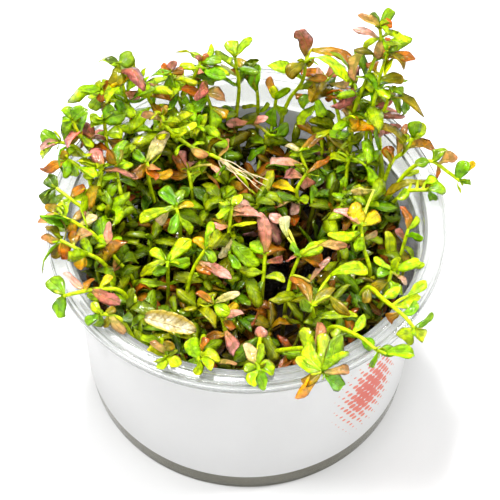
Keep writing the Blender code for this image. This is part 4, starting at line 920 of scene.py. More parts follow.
# Base, blade and tip colour of each kind of leaf in the list
TINTS = {
    "g": ((0.46, 0.74, 0.001), (0.48, 0.80, 0.001), (0.60, 0.84, 0.002)),
    "G": ((0.32, 0.62, 0.001), (0.20, 0.50, 0.001), (0.32, 0.58, 0.001)),
    "d": ((0.16, 0.30, 0.001), (0.09, 0.22, 0.002), (0.15, 0.26, 0.002)),
    "o": ((0.38, 0.46, 0.001), (0.35, 0.34, 0.002), (0.42, 0.28, 0.004)),
    "y": ((0.54, 0.64, 0.001), (0.84, 0.70, 0.001), (0.90, 0.54, 0.004)),
    "b": ((0.50, 0.42, 0.002), (0.56, 0.25, 0.006), (0.50, 0.13, 0.008)),
    "p": ((0.62, 0.44, 0.10), (0.80, 0.38, 0.32), (0.88, 0.52, 0.54)),
    "u": ((0.44, 0.28, 0.04), (0.50, 0.17, 0.13), (0.58, 0.24, 0.22)),
    "t": ((0.54, 0.50, 0.04), (0.62, 0.43, 0.13), (0.60, 0.28, 0.15)),
    "w": ((0.58, 0.66, 0.08), (0.76, 0.76, 0.34), (0.80, 0.74, 0.50)),
}
# Factors of the dark and the light patches of leaves and stems, and of the light that shines through leaves
LEAF_MOTTLE = ((0.78, 0.74, 0.55), (1.36, 1.16, 1.0))
STEM_MOTTLE = ((0.68, 0.68, 0.6), (1.2, 1.12, 1.2))
LEAF_GLOW = (1.15, 1.12, 0.35)
VEIN_COLOUR = (0.66, 0.70, 0.10)
FLUSH_COLOUR = (0.34, 0.12, 0.02)
TINT_SPREAD = 0.16
GREEN_SPREAD = 0.6
OLD_LEVEL = 22.0
YOUNG_LEVEL = 42.0
OLD_STEM = (0.14, 0.08, 0.010)
YOUNG_STEM = (0.48, 0.66, 0.001)


def settled(points, reach):
    """Points drawn clear of the cup, up on to the flange or in from the wall; those near them follow."""
    points = np.array(points, dtype=float)
    heights = points[:, 2].copy()
    radii = np.hypot(points[:, 0], points[:, 1])
    outer = (CUP_BASE_RADIUS, CUP_NECK[0], CUP_STEP[0])
    wall = np.interp(heights, (CUP_WALL, CUP_NECK[1], CUP_STEP[1]), outer) - CUP_WALL - reach
    at_rim = (heights > CUP_HEIGHT - RIM_DIP) & (radii > wall) & (radii < CUP_RIM + reach)
    at_wall = ~at_rim & (heights < CUP_HEIGHT) & (radii > wall) & (radii < wall + WALL_DEPTH)
    upward = np.where(at_rim, np.maximum(CUP_HEIGHT + reach - heights, 0.0), 0.0)
    inward = np.where(at_wall, radii - wall, 0.0)
    gaps = np.linalg.norm(points[:, None] - points[None], axis=2)
    nearness = np.clip(1.0 - gaps / SETTLING_LENGTH, 0.0, 1.0)
    points[:, 2] += (nearness * upward).max(axis=1)
    points[:, :2] *= 1.0 - ((nearness * inward).max(axis=1) / np.maximum(radii, 1.0))[:, None]
    return points


class Growth:
    """Gathers one plant in mm: large leaves as shells, stems as lines and small leaves as points."""

    def __init__(self, name):
        self.name = name
        self.shells = []
        self.lines = []
        self.sprouts = []

    def add_tube(self, line, radii, tints):
        """A stem along a line, with its radius and its colour at each point."""
        line = settled(line, np.max(radii) + STEM_GAP)
        self.lines.append((np.asarray(line), np.asarray(radii), np.broadcast_to(tints, (len(line), 3))))

    def add_small_leaf(self, base, tip, width, side, tints, chance):
        """A leaf of one of the small forms, from its stalk to its tip."""
        length = np.linalg.norm(tip - base)
        rib = base + (tip - base) * np.linspace(0.0, 1.0, RIB_POINTS)[:, None]
        along = unit(settled(rib, SMALL_GAP * length)[-1] - base)
        up = np.cross(side, along)
        if up[2] < 0:
            up = -up
        size = np.array((width / SMALL_ASPECT, length, length)) * MM
        form = chance.randrange(SMALL_FORMS)
        self.sprouts.append((base * MM, along, up, size, *tints, form, chance.random()))

    def large_leaves(self):
        """The shells as one mesh, with the colour and the leaf coordinates at each point."""
        points, faces, tints, places = [], [], [], []
        for shell_points, shell_faces, shell_tints, shell_places in self.shells:
            start = len(points)
            points += (shell_points * MM).tolist()
            faces += [tuple(start + k for k in face) for face in shell_faces]
            tints += np.broadcast_to(shell_tints, shell_points.shape).tolist()
            places += shell_places.tolist()
        return meshed("large_leaves", points, [], faces, tint=tints, place=places)

    def stem_lines(self):
        """The lines as one mesh of edges, with the radius and the colour at each point."""
        points, edges, girths, tints = [], [], [], []
        for line, radii, shades in self.lines:
            start = len(points)
            points += (line * MM).tolist()
            edges += [(start + k, start + k + 1) for k in range(len(line) - 1)]
            girths += (radii * MM).tolist()
            tints += shades.tolist()
        return meshed("stem_lines", points, edges, [], girth=girths, tint=tints)

    def leaf_points(self):
        """The small leaves as a mesh of points that say how each leaf lies."""
        columns = list(zip(*self.sprouts)) if self.sprouts else [[]] * len(SPROUT_VALUES)
        values = {name: np.array(column).tolist() for name, column in zip(SPROUT_VALUES[1:], columns[1:])}
        return meshed("leaf_points", [list(p) for p in columns[0]], [], [], **values)

    def finish(self, leaf_finish, stem_finish):
        """Grow the plant and return it as one object of plain mesh."""
        meshes = (self.leaf_points(), self.large_leaves(), self.stem_lines())
        helpers = [placed(mesh.name, mesh) for mesh in meshes]
        grower = helpers[0].modifiers.new("growth", "NODES")
        grower.node_group = GROWTH_TREE
        inputs = {"Large leaves": helpers[1], "Stem lines": helpers[2], "Leaf forms": LEAF_FORMS,
                  "Stem sides": STEM_SIDES, "Crinkle depth": CRINKLE_DEPTH * MM,
                  "Crinkle length": CRINKLE_LENGTH * MM, "Seed": CRINKLE_SEED,
                  "Leaf finish": leaf_finish, "Stem finish": stem_finish}
        for item in GROWTH_TREE.interface.items_tree:
            if item.in_out == "INPUT" and item.name in inputs:
                grower[item.identifier] = inputs[item.name]
        graph = bpy.context.evaluated_depsgraph_get()
        grown = helpers[0].evaluated_get(graph)
        mesh = bpy.data.meshes.new_from_object(grown, preserve_all_data_layers=True, depsgraph=graph)
        mesh.name = self.name
        helpers[0].modifiers.clear()
        for helper in helpers:
            bpy.data.objects.remove(helper)
        for name in SPROUT_VALUES[1:] + ("girth",):
            if name in mesh.attributes:
                mesh.attributes.remove(mesh.attributes[name])
        return finished(self.name, mesh)


def meshed(name, points, edges, faces, **values):
    """A mesh with the given values at its points."""
    mesh = bpy.data.meshes.new(name)
    mesh.from_pydata(points, edges, faces)
    for value_name, column in values.items():
        if value_name.startswith("tint"):
            shades = np.hstack((np.array(column).reshape(-1, 3), np.ones((len(points), 1)))).ravel()
            mesh.attributes.new(value_name, "FLOAT_COLOR", "POINT").data.foreach_set("color", shades)
        elif value_name == "form":
            mesh.attributes.new(value_name, "INT", "POINT").data.foreach_set("value", column)
        elif value_name in ("girth", "chance"):
            mesh.attributes.new(value_name, "FLOAT", "POINT").data.foreach_set("value", column)
        else:
            spots = np.array(column, dtype=float).ravel()
            mesh.attributes.new(value_name, "FLOAT_VECTOR", "POINT").data.foreach_set("vector", spots)
    return mesh


def grow_node(tree, kind, values=(), **settings):
    """A geometry node."""
    return add_node(tree, kind, values, "GeometryNode", **settings)


def named_value(tree, name, sort):
    """A named value of the geometry that the tree works on."""
    return grow_node(tree, "InputNamedAttribute", {"Name": name}, data_type=sort).outputs["Attribute"]


def stored(tree, geometry, name, value, sort):
    """The geometry with a value kept at each point under a name."""
    return grow_node(tree, "StoreNamedAttribute", {"Geometry": geometry, "Name": name, "Value": value},
                     data_type=sort, domain="POINT").outputs["Geometry"]


def set_small_leaves(tree, given):
    """Small leaves on their points, each with its own colours from stalk to tip."""
    turn = add_node(tree, "AxesToRotation", {"Primary Axis": named_value(tree, "along", "FLOAT_VECTOR"),
                                             "Secondary Axis": named_value(tree, "up", "FLOAT_VECTOR")},
                    "FunctionNode", primary_axis="Y", secondary_axis="Z")
    forms = grow_node(tree, "CollectionInfo", {"Collection": given["Leaf forms"], "Separate Children": True,
                                               "Reset Children": True})
    leaves = grow_node(tree, "InstanceOnPoints", {
        "Points": given["Leaf points"], "Instance": forms.outputs["Instances"], "Pick Instance": True,
        "Instance Index": named_value(tree, "form", "INT"), "Rotation": turn.outputs["Rotation"],
        "Scale": named_value(tree, "size", "FLOAT_VECTOR")})
    real = grow_node(tree, "RealizeInstances", {"Geometry": leaves.outputs["Instances"]}).outputs[0]
    place = add_node(tree, "SeparateXYZ", {0: named_value(tree, "place", "FLOAT_VECTOR")}).outputs
    shades = [named_value(tree, "tint_" + name, "FLOAT_COLOR") for name in ("low", "middle", "high")]
    shade = mixed(tree, between(tree, place["Y"], *TINT_STOPS[:2]), shades[0], shades[1])
    shade = mixed(tree, between(tree, place["Y"], *TINT_STOPS[1:]), shade, shades[2])
    chance = named_value(tree, "chance", "FLOAT")
    own = add_node(tree, "CombineXYZ", {0: place["X"], 1: place["Y"], 2: chance})
    shaded = stored(tree, real, "tint", shade, "FLOAT_COLOR")
    return stored(tree, shaded, "place", own.outputs[0], "FLOAT_VECTOR")


def crinkle(tree, blades, given):
    """The blades moved a little by a noise, less towards their stalks."""
    spot = grow_node(tree, "InputPosition").outputs["Position"]
    swings = add_node(tree, "TexNoise", {
        "Vector": spot, "W": given["Seed"], "Scale": reckon(tree, "DIVIDE", 1.0, given["Crinkle length"]),
        "Detail": 1.0}, noise_dimensions="4D").outputs["Color"]
    centred = add_node(tree, "VectorMath", {0: swings, 1: (0.5, 0.5, 0.5)}, operation="SUBTRACT")
    along = add_node(tree, "SeparateXYZ", {0: named_value(tree, "place", "FLOAT_VECTOR")}).outputs["Y"]
    full = reckon(tree, "MULTIPLY", given["Crinkle depth"], CRINKLE_GAIN)
    depth = reckon(tree, "MULTIPLY", between(tree, along, *CRINKLE_RISE), full)
    shift = add_node(tree, "VectorMath", {0: centred.outputs["Vector"], "Scale": depth},
                     operation="SCALE").outputs["Vector"]
    return grow_node(tree, "SetPosition", {"Geometry": blades, "Offset": shift}).outputs["Geometry"]


def growth_tree():
    """Geometry Nodes that grow one plant from its leaf points, its large leaves and its stem lines."""
    inputs = (("Leaf points", "Geometry"), ("Large leaves", "Object"), ("Stem lines", "Object"),
              ("Leaf forms", "Collection"), ("Stem sides", "Int"), ("Crinkle depth", "Float"),
              ("Crinkle length", "Float"), ("Seed", "Float"), ("Leaf finish", "Material"),
              ("Stem finish", "Material"))
    tree, given, output = new_group("plant_growth", inputs, (("Plant", "Geometry"),), "Geometry")
    large = grow_node(tree, "ObjectInfo", {"Object": given["Large leaves"]}).outputs["Geometry"]
    blades = tree.nodes.new("GeometryNodeJoinGeometry")
    tree.links.new(set_small_leaves(tree, given), blades.inputs[0])
    tree.links.new(large, blades.inputs[0])
    crinkled = crinkle(tree, blades.outputs[0], given)
    leaves = grow_node(tree, "SetMaterial", {"Geometry": crinkled, "Material": given["Leaf finish"]})
    lines = grow_node(tree, "ObjectInfo", {"Object": given["Stem lines"]}).outputs["Geometry"]
    curves = grow_node(tree, "MeshToCurve", {"Mesh": lines}).outputs["Curve"]
    ring = grow_node(tree, "CurvePrimitiveCircle", {"Resolution": given["Stem sides"], "Radius": 1.0})
    girth = named_value(tree, "girth", "FLOAT")
    tubes = grow_node(tree, "CurveToMesh", {"Curve": curves, "Profile Curve": ring.outputs["Curve"],
                                            "Fill Caps": True, "Scale": girth})
    stems = grow_node(tree, "SetMaterial", {"Geometry": tubes.outputs[0], "Material": given["Stem finish"]})
    plant = tree.nodes.new("GeometryNodeJoinGeometry")
    tree.links.new(stems.outputs[0], plant.inputs[0])
    tree.links.new(leaves.outputs[0], plant.inputs[0])
    smooth = grow_node(tree, "SetShadeSmooth", {"Geometry": plant.outputs[0]}).outputs["Geometry"]
    real = grow_node(tree, "RealizeInstances", {"Geometry": smooth}).outputs["Geometry"]
    tree.links.new(real, output["Plant"])
    return tree


def node_corners(node):
    """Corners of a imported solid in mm, each one once."""
    points = [node.matrix_world @ v.co for v in node.data.vertices]
    return np.unique(np.round(np.array(points) / MM, 3), axis=0)


def ring_on_sight(corners, across, down, reach, over_rim):
    """The four corners of a solid evenly round a pixel's sight line, nearest to a height, if any."""
    ray = sight_line(across, down)
    offset = corners - EYE
    depth = offset @ ray
    beside = np.linalg.norm(offset - np.outer(depth, ray), axis=1)
    near = beside < reach + SIGHT_SLACK
    half = np.sqrt(np.maximum(reach ** 2 - beside[near] ** 2, 0.0))
    best = None
    for t in np.concatenate((depth[near] - half, depth[near] + half)):
        centre = EYE + ray * t
        gaps = np.abs(np.linalg.norm(corners - centre, axis=1) - reach)
        ring = corners[gaps < RING_SLACK]
        if len(ring) != 4 or np.linalg.norm(ring.mean(axis=0) - centre) > MIDDLE_SLACK:
            continue
        miss = abs(centre[2] - CUP_HEIGHT - over_rim)
        if best is None or miss < best[0]:
            best = (miss, ring.mean(axis=0), ring)
    return best


def seen_at(across, down, over_rim):
    """The point at a height over the rim on a pixel's sight line."""
    ray = sight_line(across, down)
    return EYE + ray * ((CUP_HEIGHT + over_rim - EYE[2]) / ray[2])


def smooth_line(points, steps=8):
    """Points close together on a smooth line through the given ones."""
    ends = [points[0] * 2 - points[1]] + list(points) + [points[-1] * 2 - points[-2]]
    line = []
    for p0, p1, p2, p3 in zip(ends, ends[1:], ends[2:], ends[3:]):
        for t in np.arange(steps) / steps:
            bend = (2 * p0 - 5 * p1 + 4 * p2 - p3) * t * t + (3 * p1 - p0 - 3 * p2 + p3) * t ** 3
            line.append((2 * p1 + (p2 - p0) * t + bend) * 0.5)
    line.append(np.array(points[-1]))
    return np.array(line)


def unit(vector):
    """A vector of length one."""
    return vector / max(np.linalg.norm(vector), 1e-9)


def blade(outline, columns, aspect, thickness, arch, curl, chance):
    """One leaf of length 1 along Y, facing up: points, faces and leaf coordinates of a closed shell.

    Each leaf is cupped, folded, twisted, hooked and wavy in its own measure, times the curl, and its two
    margins differ.
    """
    cup = chance.uniform(*CUPPED) * curl
    fold = max(0.0, chance.gauss(*FOLDED)) * curl
    twist = chance.gauss(*TWISTED) * curl
    hook = chance.gauss(*HOOKED) * curl
    sway = chance.uniform(*SWAYED)
    phase = chance.uniform(0.0, 2 * math.pi)
    wave = chance.uniform(*WAVED)
    uneven = chance.uniform(*UNEVEN)
    left, right = chance.uniform(0.0, FULL_TURN), chance.uniform(0.0, FULL_TURN)
    spread = np.linspace(-1.0, 1.0, columns + 1)
    upper, lower, places = [], [], []
    for s, share in outline:
        margins = 1.0 + uneven * np.sin(np.where(spread < 0, left, right) + MARGIN_SWINGS * s)
        half = aspect * share / 2
        across = spread * half * margins
        hump = 4 * s * (1 - s)
        lift = half * (cup * spread ** 2 + fold * np.abs(spread)) + arch * hump - hook * s * s
        swing = phase + s * WAVE_SWINGS[0] + spread * WAVE_SWINGS[1]
        lift = lift + wave * half * np.sin(swing) * np.abs(spread)
        turn = twist * (s - TWIST_FOOT)
        middle = sway * hump
        aside = middle + across * math.cos(turn) - lift * math.sin(turn)
        above = across * math.sin(turn) + lift * math.cos(turn)
        row = np.column_stack((aside, np.full(columns + 1, s), above))
        thick = thickness * (1.0 - spread ** 2) * min(1.0, 0.5 + share)
        upper.append(row + np.outer(thick / 2, (0.0, 0.0, 1.0)))
        lower.append(row - np.outer(thick / 2, (0.0, 0.0, 1.0)))
        places.append(np.column_stack((spread, np.full(columns + 1, s), np.zeros(columns + 1))))
    return shelled(upper, lower, places)


def shelled(upper, lower, places):
    """Rows of an upper and a lower surface that share their margins, as one closed shell."""
    rows, columns = len(upper), len(upper[0])
    number = np.arange(rows * columns).reshape(rows, columns)
    under = number.copy()
    inner = [(i, j) for i in range(1, rows - 1) for j in range(1, columns - 1)]
    for k, (i, j) in enumerate(inner):
        under[i, j] = rows * columns + k
    points = np.vstack((np.concatenate(upper), [lower[i][j] for i, j in inner]))
    spots = np.vstack((np.concatenate(places), [places[i][j] for i, j in inner]))
    faces = []
    for i in range(rows - 1):
        for j in range(columns - 1):
            faces.append((number[i, j], number[i, j + 1], number[i + 1, j + 1], number[i + 1, j]))
            faces.append((under[i, j], under[i + 1, j], under[i + 1, j + 1], under[i, j + 1]))
    return points, [tuple(int(k) for k in face) for face in faces], spots


def small_leaf_forms():
    """The few forms that all the small leaves have, in a collection of their own."""
    forms = bpy.data.collections.new("leaf_forms")
    for number in range(SMALL_FORMS):
        chance = random.Random(FORM_SEED + number)
        form = (SMALL_ASPECT, SMALL_THICKNESS, chance.uniform(*SMALL_ARCH), chance.uniform(*SMALL_CURL))
        points, faces, places = blade(SMALL_OUTLINE, SMALL_COLUMNS, *form, chance)
        mesh = meshed(f"leaf_form_{number}", points.tolist(), [], faces, place=places)
        forms.objects.link(bpy.data.objects.new(mesh.name, mesh))
    return forms


def facing_up(side, along):
    """A blade's side and its normal, both turned over if the normal points down."""
    normal = np.cross(side, along)
    return (-side, -normal) if normal[2] < 0 else (side, normal)


def add_leaf(growth, base, tip, width, side, arch, tints, chance):
    """A large leaf from its stalk to its tip, of its own form, with its colours along it."""
    length = np.linalg.norm(tip - base)
    along = unit(tip - base)
    side = unit(side - along * (side @ along))
    side, normal = facing_up(side, along)
    form = (width / length, LEAF_THICKNESS / length, arch / length + LARGE_ARCH, LARGE_CURL)
    points, faces, places = blade(LEAF_OUTLINE, LARGE_COLUMNS, *form, chance)
    places[:, 2] = chance.random()
    shades = np.array([[np.interp(s, TINT_STOPS, [tint[k] for tint in tints]) for k in range(3)]
                       for s in places[:, 1]])
    points = settled(base + length * (points @ np.array((side, along, normal))), LARGE_GAP)
    growth.shells.append((points, faces, shades, places))


def leaf_veins():
    """Group of the leaves: how far a point lies on a vein and from the midrib, and the leaf's chance."""
    inputs = (("Side veins", "Float"), ("Slant", "Float"), ("Midrib width", "Float"))
    outputs = (("Veins", "Float"), ("Across", "Float"), ("Chance", "Float"))
    tree, given, output = new_group("leaf_veins", inputs, outputs)
    place = add_node(tree, "Attribute", attribute_name="place").outputs["Vector"]
    parts = add_node(tree, "SeparateXYZ", {0: place}).outputs
    across = reckon(tree, "ABSOLUTE", parts["X"])
    midrib = between(tree, across, 0.02, given["Midrib width"], 1.0, 0.0)
    ahead = reckon(tree, "MULTIPLY", parts["Y"], given["Side veins"])
    slanted = reckon(tree, "SUBTRACT", ahead, reckon(tree, "MULTIPLY", across, given["Slant"]))
    stripe = reckon(tree, "PINGPONG", slanted, 0.5)
    side = between(tree, stripe, 0.0, 0.10, 0.55, 0.0)
    on_blade = between(tree, across, 0.95, 1.05, 1.0, 0.0)
    veins = reckon(tree, "MULTIPLY", reckon(tree, "MAXIMUM", midrib, side), on_blade)
    for name, value in (("Veins", veins), ("Across", across), ("Chance", parts["Z"])):
        tree.links.new(value, output[name])
    return tree


LEAF_VEINS = leaf_veins()


def leaf_tissue():
    """Living leaf: mottled, with paler veins, a redder margin and a wet sheen; light shines through."""
    made, tree, output = new_material("leaf_tissue")
    tint = add_node(tree, "Attribute", attribute_name="tint").outputs["Color"]
    drawn = add_node(tree, "Group", {"Side veins": 9.0, "Slant": 1.6, "Midrib width": 0.13},
                     node_tree=LEAF_VEINS).outputs
    veins = drawn["Veins"]
    mottle = grained(tree, 900.0, 4.0)
    fine = grained(tree, 5200.0, 2.0)
    broad = grained(tree, 210.0, 2.0)
    place = add_node(tree, "TexCoord").outputs["Object"]
    wet = add_node(tree, "TexNoise", {"Vector": place, "Scale": 800.0, "Detail": 2.0}).outputs["Fac"]
    dark, light = (multiplied(tree, tint, factors) for factors in LEAF_MOTTLE)
    colour = mixed(tree, between(tree, mottle, 0.40, 0.60), dark, light)
    pale = mixed(tree, 0.45, colour, VEIN_COLOUR)
    colour = mixed(tree, reckon(tree, "MULTIPLY", veins, 0.5), colour, pale)
    margin = reckon(tree, "ADD", drawn["Across"], reckon(tree, "MULTIPLY", broad, 0.7))
    flush = between(tree, margin, 1.15, 1.45, 0.0, 0.55)
    flush = reckon(tree, "MULTIPLY", flush, between(tree, drawn["Chance"], 0.45, 0.8))
    colour = mixed(tree, flush, colour, FLUSH_COLOUR)
    height = reckon(tree, "SUBTRACT", reckon(tree, "ADD", mottle, reckon(tree, "MULTIPLY", fine, 0.35)),
                    reckon(tree, "MULTIPLY", veins, 0.6))
    normal = bumped(tree, height, 0.28)
    shader = add_node(tree, "BsdfPrincipled", {
        "Base Color": colour, "Roughness": between(tree, fine, 0.3, 0.7, 0.14, 0.30), "IOR": 1.4,
        "Specular IOR Level": 0.2, "Coat Weight": between(tree, broad, 0.4, 0.5, 0.3, 1.0),
        "Coat Roughness": 0.06, "Coat IOR": 1.45, "Coat Normal": bumped(tree, wet, 0.35), "Normal": normal})
    surfaced(tree, output, shader, 0.30, Color=multiplied(tree, colour, LEAF_GLOW), Normal=normal)
    return made


def stem_tissue():
    """Stem: ribbed lengthwise, with darker and lighter patches and a soft sheen."""
    made, tree, output = new_material("stem_tissue")
    tint = add_node(tree, "Attribute", attribute_name="tint").outputs["Color"]
    mottle = grained(tree, 1100.0, 3.0)
    ribs = grained(tree, 3600.0, 2.0, (1.0, 1.0, 0.12))
    dark, light = (multiplied(tree, tint, factors) for factors in STEM_MOTTLE)
    colour = mixed(tree, between(tree, mottle, 0.35, 0.65), dark, light)
    shader = add_node(tree, "BsdfPrincipled", {
        "Base Color": colour, "Roughness": between(tree, mottle, 0.3, 0.7, 0.26, 0.42),
        "Specular IOR Level": 0.25, "Normal": bumped(tree, ribs, 0.06)})
    surfaced(tree, output, shader)
    return made


PLANT_LOOKS = (leaf_tissue(), stem_tissue())
LEAF_FORMS = small_leaf_forms()
GROWTH_TREE = growth_tree()


def stem_line(corners, stem):
    """Points of a stem from its foot to its tip, and how far that stands over its listed level."""
    foot = corners[np.argsort(corners[:, 2])[:4]].mean(axis=0)
    across, down, over_rim = stem[-1]
    ring = ring_on_sight(corners, across, down, STEM_TIP_REACH, over_rim)
    lift = 0.0 if ring is None else ring[1][2] - CUP_HEIGHT - over_rim
    seen = [seen_at(u, v, h + lift) for u, v, h in stem]
    points = [foot]
    if seen[0][2] - foot[2] > LONG_STEM:
        middle = foot * MIDDLE_SHARES[0] + seen[0] * MIDDLE_SHARES[1]
        middle[:2] += (foot - seen[0])[:2] * MIDDLE_LEAN
        level = np.abs(corners[:, 2] - middle[2]) < NEAR_LEVEL
        if level.any():
            nearest = corners[level][np.argmin(np.linalg.norm(corners[level] - middle, axis=1))]
            pull = nearest - middle
            if np.linalg.norm(pull) < PULL_REACH:
                middle = middle + pull * PULL_SHARE
        points.append(middle)
    return smooth_line(points + seen), lift


def height_beside(stem, across, down):
    """Height over the rim of a listed stem where it passes nearest to a pixel."""
    best = None
    for start, end in zip(stem, stem[1:]):
        du = end[0] - start[0]
        dv = end[1] - start[1]
        share = ((across - start[0]) * du + (down - start[1]) * dv) / (du * du + dv * dv)
        share = min(max(share, 0.0), 1.0)
        gap = math.hypot(start[0] + du * share - across, start[1] + dv * share - down)
        if best is None or gap < best[0]:
            best = (gap, start[2] + (end[2] - start[2]) * share)
    return best[1]


def blade_side(along):
    """Direction across a blade that faces up and towards the light."""
    side = np.cross(along, FACING[0])
    if np.linalg.norm(side) < LEAST_SIDE:
        side = np.cross(along, FACING[1])
    return unit(side)


def long_side(ring):
    """Direction of the longer edges of a four-cornered ring."""
    edges = [ring[k] - ring[0] for k in (1, 2, 3)]
    edges.sort(key=np.linalg.norm)
    return unit(edges[1])


def varied(tints, chance, spread=TINT_SPREAD):
    """A leaf's colours, a little lighter or darker and greener or redder than its kind."""
    red, green = chance.uniform(-spread, spread), chance.uniform(-spread, spread) * GREEN_SPREAD
    shift = np.array((red, green, 0.0)) + 1.0
    light = 1.0 + chance.uniform(-spread, spread)
    return [np.array(tint) * shift * light for tint in tints]


# Points on the listed leaves and stems, under which the lower growth stays
canopy_points = []


def add_listed_leaf(growth, line, corners, stem, lift, leaf, chance):
    """A leaf of the list, on the place of its solid where it has one."""
    start_u, start_v, tip_u, tip_v, width, letter, rise = leaf[:7]
    arch = leaf[7] if len(leaf) > 7 else 0
    level = height_beside(stem, start_u, start_v) + lift
    reach = math.hypot(width * TIP_SHARE, TIP_THICKNESS) / 2
    ring = ring_on_sight(corners, tip_u, tip_v, reach, level + rise)
    if ring is None:
        tip = seen_at(tip_u, tip_v, level + rise)
        side = None
        drop = 0.0
    else:
        tip = ring[1]
        side = long_side(ring[2])
        drop = min(max(tip[2] - CUP_HEIGHT - level - rise, -MOST_DROP), MOST_DROP)
    base = seen_at(start_u, start_v, level + drop * 0.5)
    nearest = line[np.argmin(np.linalg.norm(line - base, axis=1))]
    stalk = ring_on_sight(corners, start_u, start_v, PETIOLE_REACH, level + drop)
    if stalk is not None:
        base = stalk[1]
    gap = np.linalg.norm(base - nearest)
    if gap > BRANCH_GAP:
        middle = (nearest + base) / 2 + np.array((0.0, 0.0, BRANCH_ARCH * gap))
        branch = smooth_line([nearest, middle, base], 4)
        tints = np.linspace(YOUNG_STEM, TINTS[letter][0], len(branch))
        radii = np.linspace(BRANCH_RADIUS, BRANCH_RADIUS * BRANCH_TAPER, len(branch))
        growth.add_tube(branch, radii, tints)
    else:
        base = nearest
    if side is None:
        side = blade_side(unit(tip - base))
    add_leaf(growth, base, tip, width * LARGE_WIDTH, side, arch, varied(TINTS[letter], chance), chance)
    canopy_points.extend(base + (tip - base) * share for share in np.linspace(0.0, 1.0, RIB_POINTS))


def clear_of_cup(base, tip):
    """Whether a leaf keeps inside the wall, over the flange or beyond its skirt all the way along."""
    for share in np.linspace(0.0, 1.0, CLEAR_POINTS):
        point = base + (tip - base) * share
        radius = math.hypot(point[0], point[1])
        inside = radius < CUP_BASE_RADIUS - CUP_WALL - WALL_MARGIN + WALL_SLACK
        if not (inside or point[2] > CUP_HEIGHT + FLANGE_MARGIN or radius > CUP_RIM + WALL_MARGIN):
            return False
    return True


def add_crown(growth, line, lengths, tints, chance):
    """The youngest leaves round a shoot's tip: two spread ones and two more upright."""
    along = unit(line[-1] - line[-3])
    side = blade_side(along)
    start = chance.uniform(0.0, math.pi)
    for k in range(CROWN_COUNT):
        turn = start + math.pi / 2 * k + chance.uniform(*TURN_STRAY)
        out = side * math.cos(turn) + np.cross(along, side) * math.sin(turn)
        lean = chance.uniform(*CROWN_LEAN) + UPRIGHT_LEAN * (k % 2)
        length = chance.uniform(*lengths) * (1.0 - UPRIGHT_SHORTER * (k % 2))
        tip = line[-1] + unit(out + along * lean) * length
        if clear_of_cup(line[-1], tip):
            growth.add_small_leaf(line[-1] - along * CROWN_SINK, tip, length * chance.uniform(*CROWN_WIDTH),
                                  np.cross(along, out), varied(tints, chance), chance)


def stem_tints(line, old_level, light=1.0):
    """Colour at each point of a stem: brown up to a level, then turning green, a light share of it."""
    share = np.clip((line[:, 2] - old_level) / (YOUNG_LEVEL - old_level), 0.0, 1.0)[:, None]
    return np.array(OLD_STEM) * (1 - share) + np.array(YOUNG_STEM) * share * light


def make_shoots():
    """All the listed shoots; returns the line of each stem for what grows lower on it."""
    lines = {}
    for number, (name, (stem, leaves)) in enumerate(SHOOTS.items()):
        chance = random.Random(SHOOT_SEED + number)
        corners = node_corners(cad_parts["shoot_" + name])
        line, lift = stem_line(corners, stem)
        line = settled(line, STEM_FOOT + STEM_GAP)
        growth = Growth(name)
        growth.add_tube(line, np.linspace(STEM_FOOT, STEM_TOP, len(line)), stem_tints(line, OLD_LEVEL))
        canopy_points.extend(line[line[:, 2] > CUP_HEIGHT + stem[0][2] - SHOWN_DEPTH])
        for leaf in leaves:
            add_listed_leaf(growth, line, corners, stem, lift, leaf, chance)
        add_crown(growth, line, BUD_LEAVES, TINTS["g"], chance)
        lines[name] = (growth, line)
    return lines


growing = make_shoots()


# Loose leaf: a dead pale leaf, folded into a shallow boat, lying on the front of the clump. Its rim is
# yellow and thicker, and its sunken middle is bleached and papery.

LOOSE_ENDS = ((145, 317, 3.0), (196, 331, 3.0))
LOOSE_WIDTH = 4.4
LOOSE_THICKNESS = 0.35
LOOSE_ROWS = 22
LOOSE_COLUMNS = 12
LOOSE_SPOTS = 12
# Width at the ends and how soon the far end closes; the blade's rise, tilt and drop; its raised rim and its
# sunken middle; how far its margins curl in; its thickness in the middle and what its rim has more
END_SHARE = 0.25
END_REACH = 1.03
BLADE_RISE = 0.8
BLADE_TILT = 0.2
BLADE_DROP = 0.3
RIM_RISE = 1.15
MIDDLE_SAG = 0.6
MARGIN_CURL = 0.12
MIDDLE_THICKNESS = 0.5
RIM_THICKNESS = 0.9
# Depth of each ripple, and how it swings along and across the blade
RIPPLES = ((0.16, 17.0, 3.0), (0.14, 31.0, -5.0))
BLEACHED_COLOURS = ((0.58, 0.46, 0.17), (0.92, 0.86, 0.58))
RIM_COLOURS = ((0.66, 0.45, 0.03), (0.82, 0.68, 0.09))
DEAD_VEINS = (0.50, 0.36, 0.10)
SPECK_COLOUR = (0.30, 0.16, 0.04)


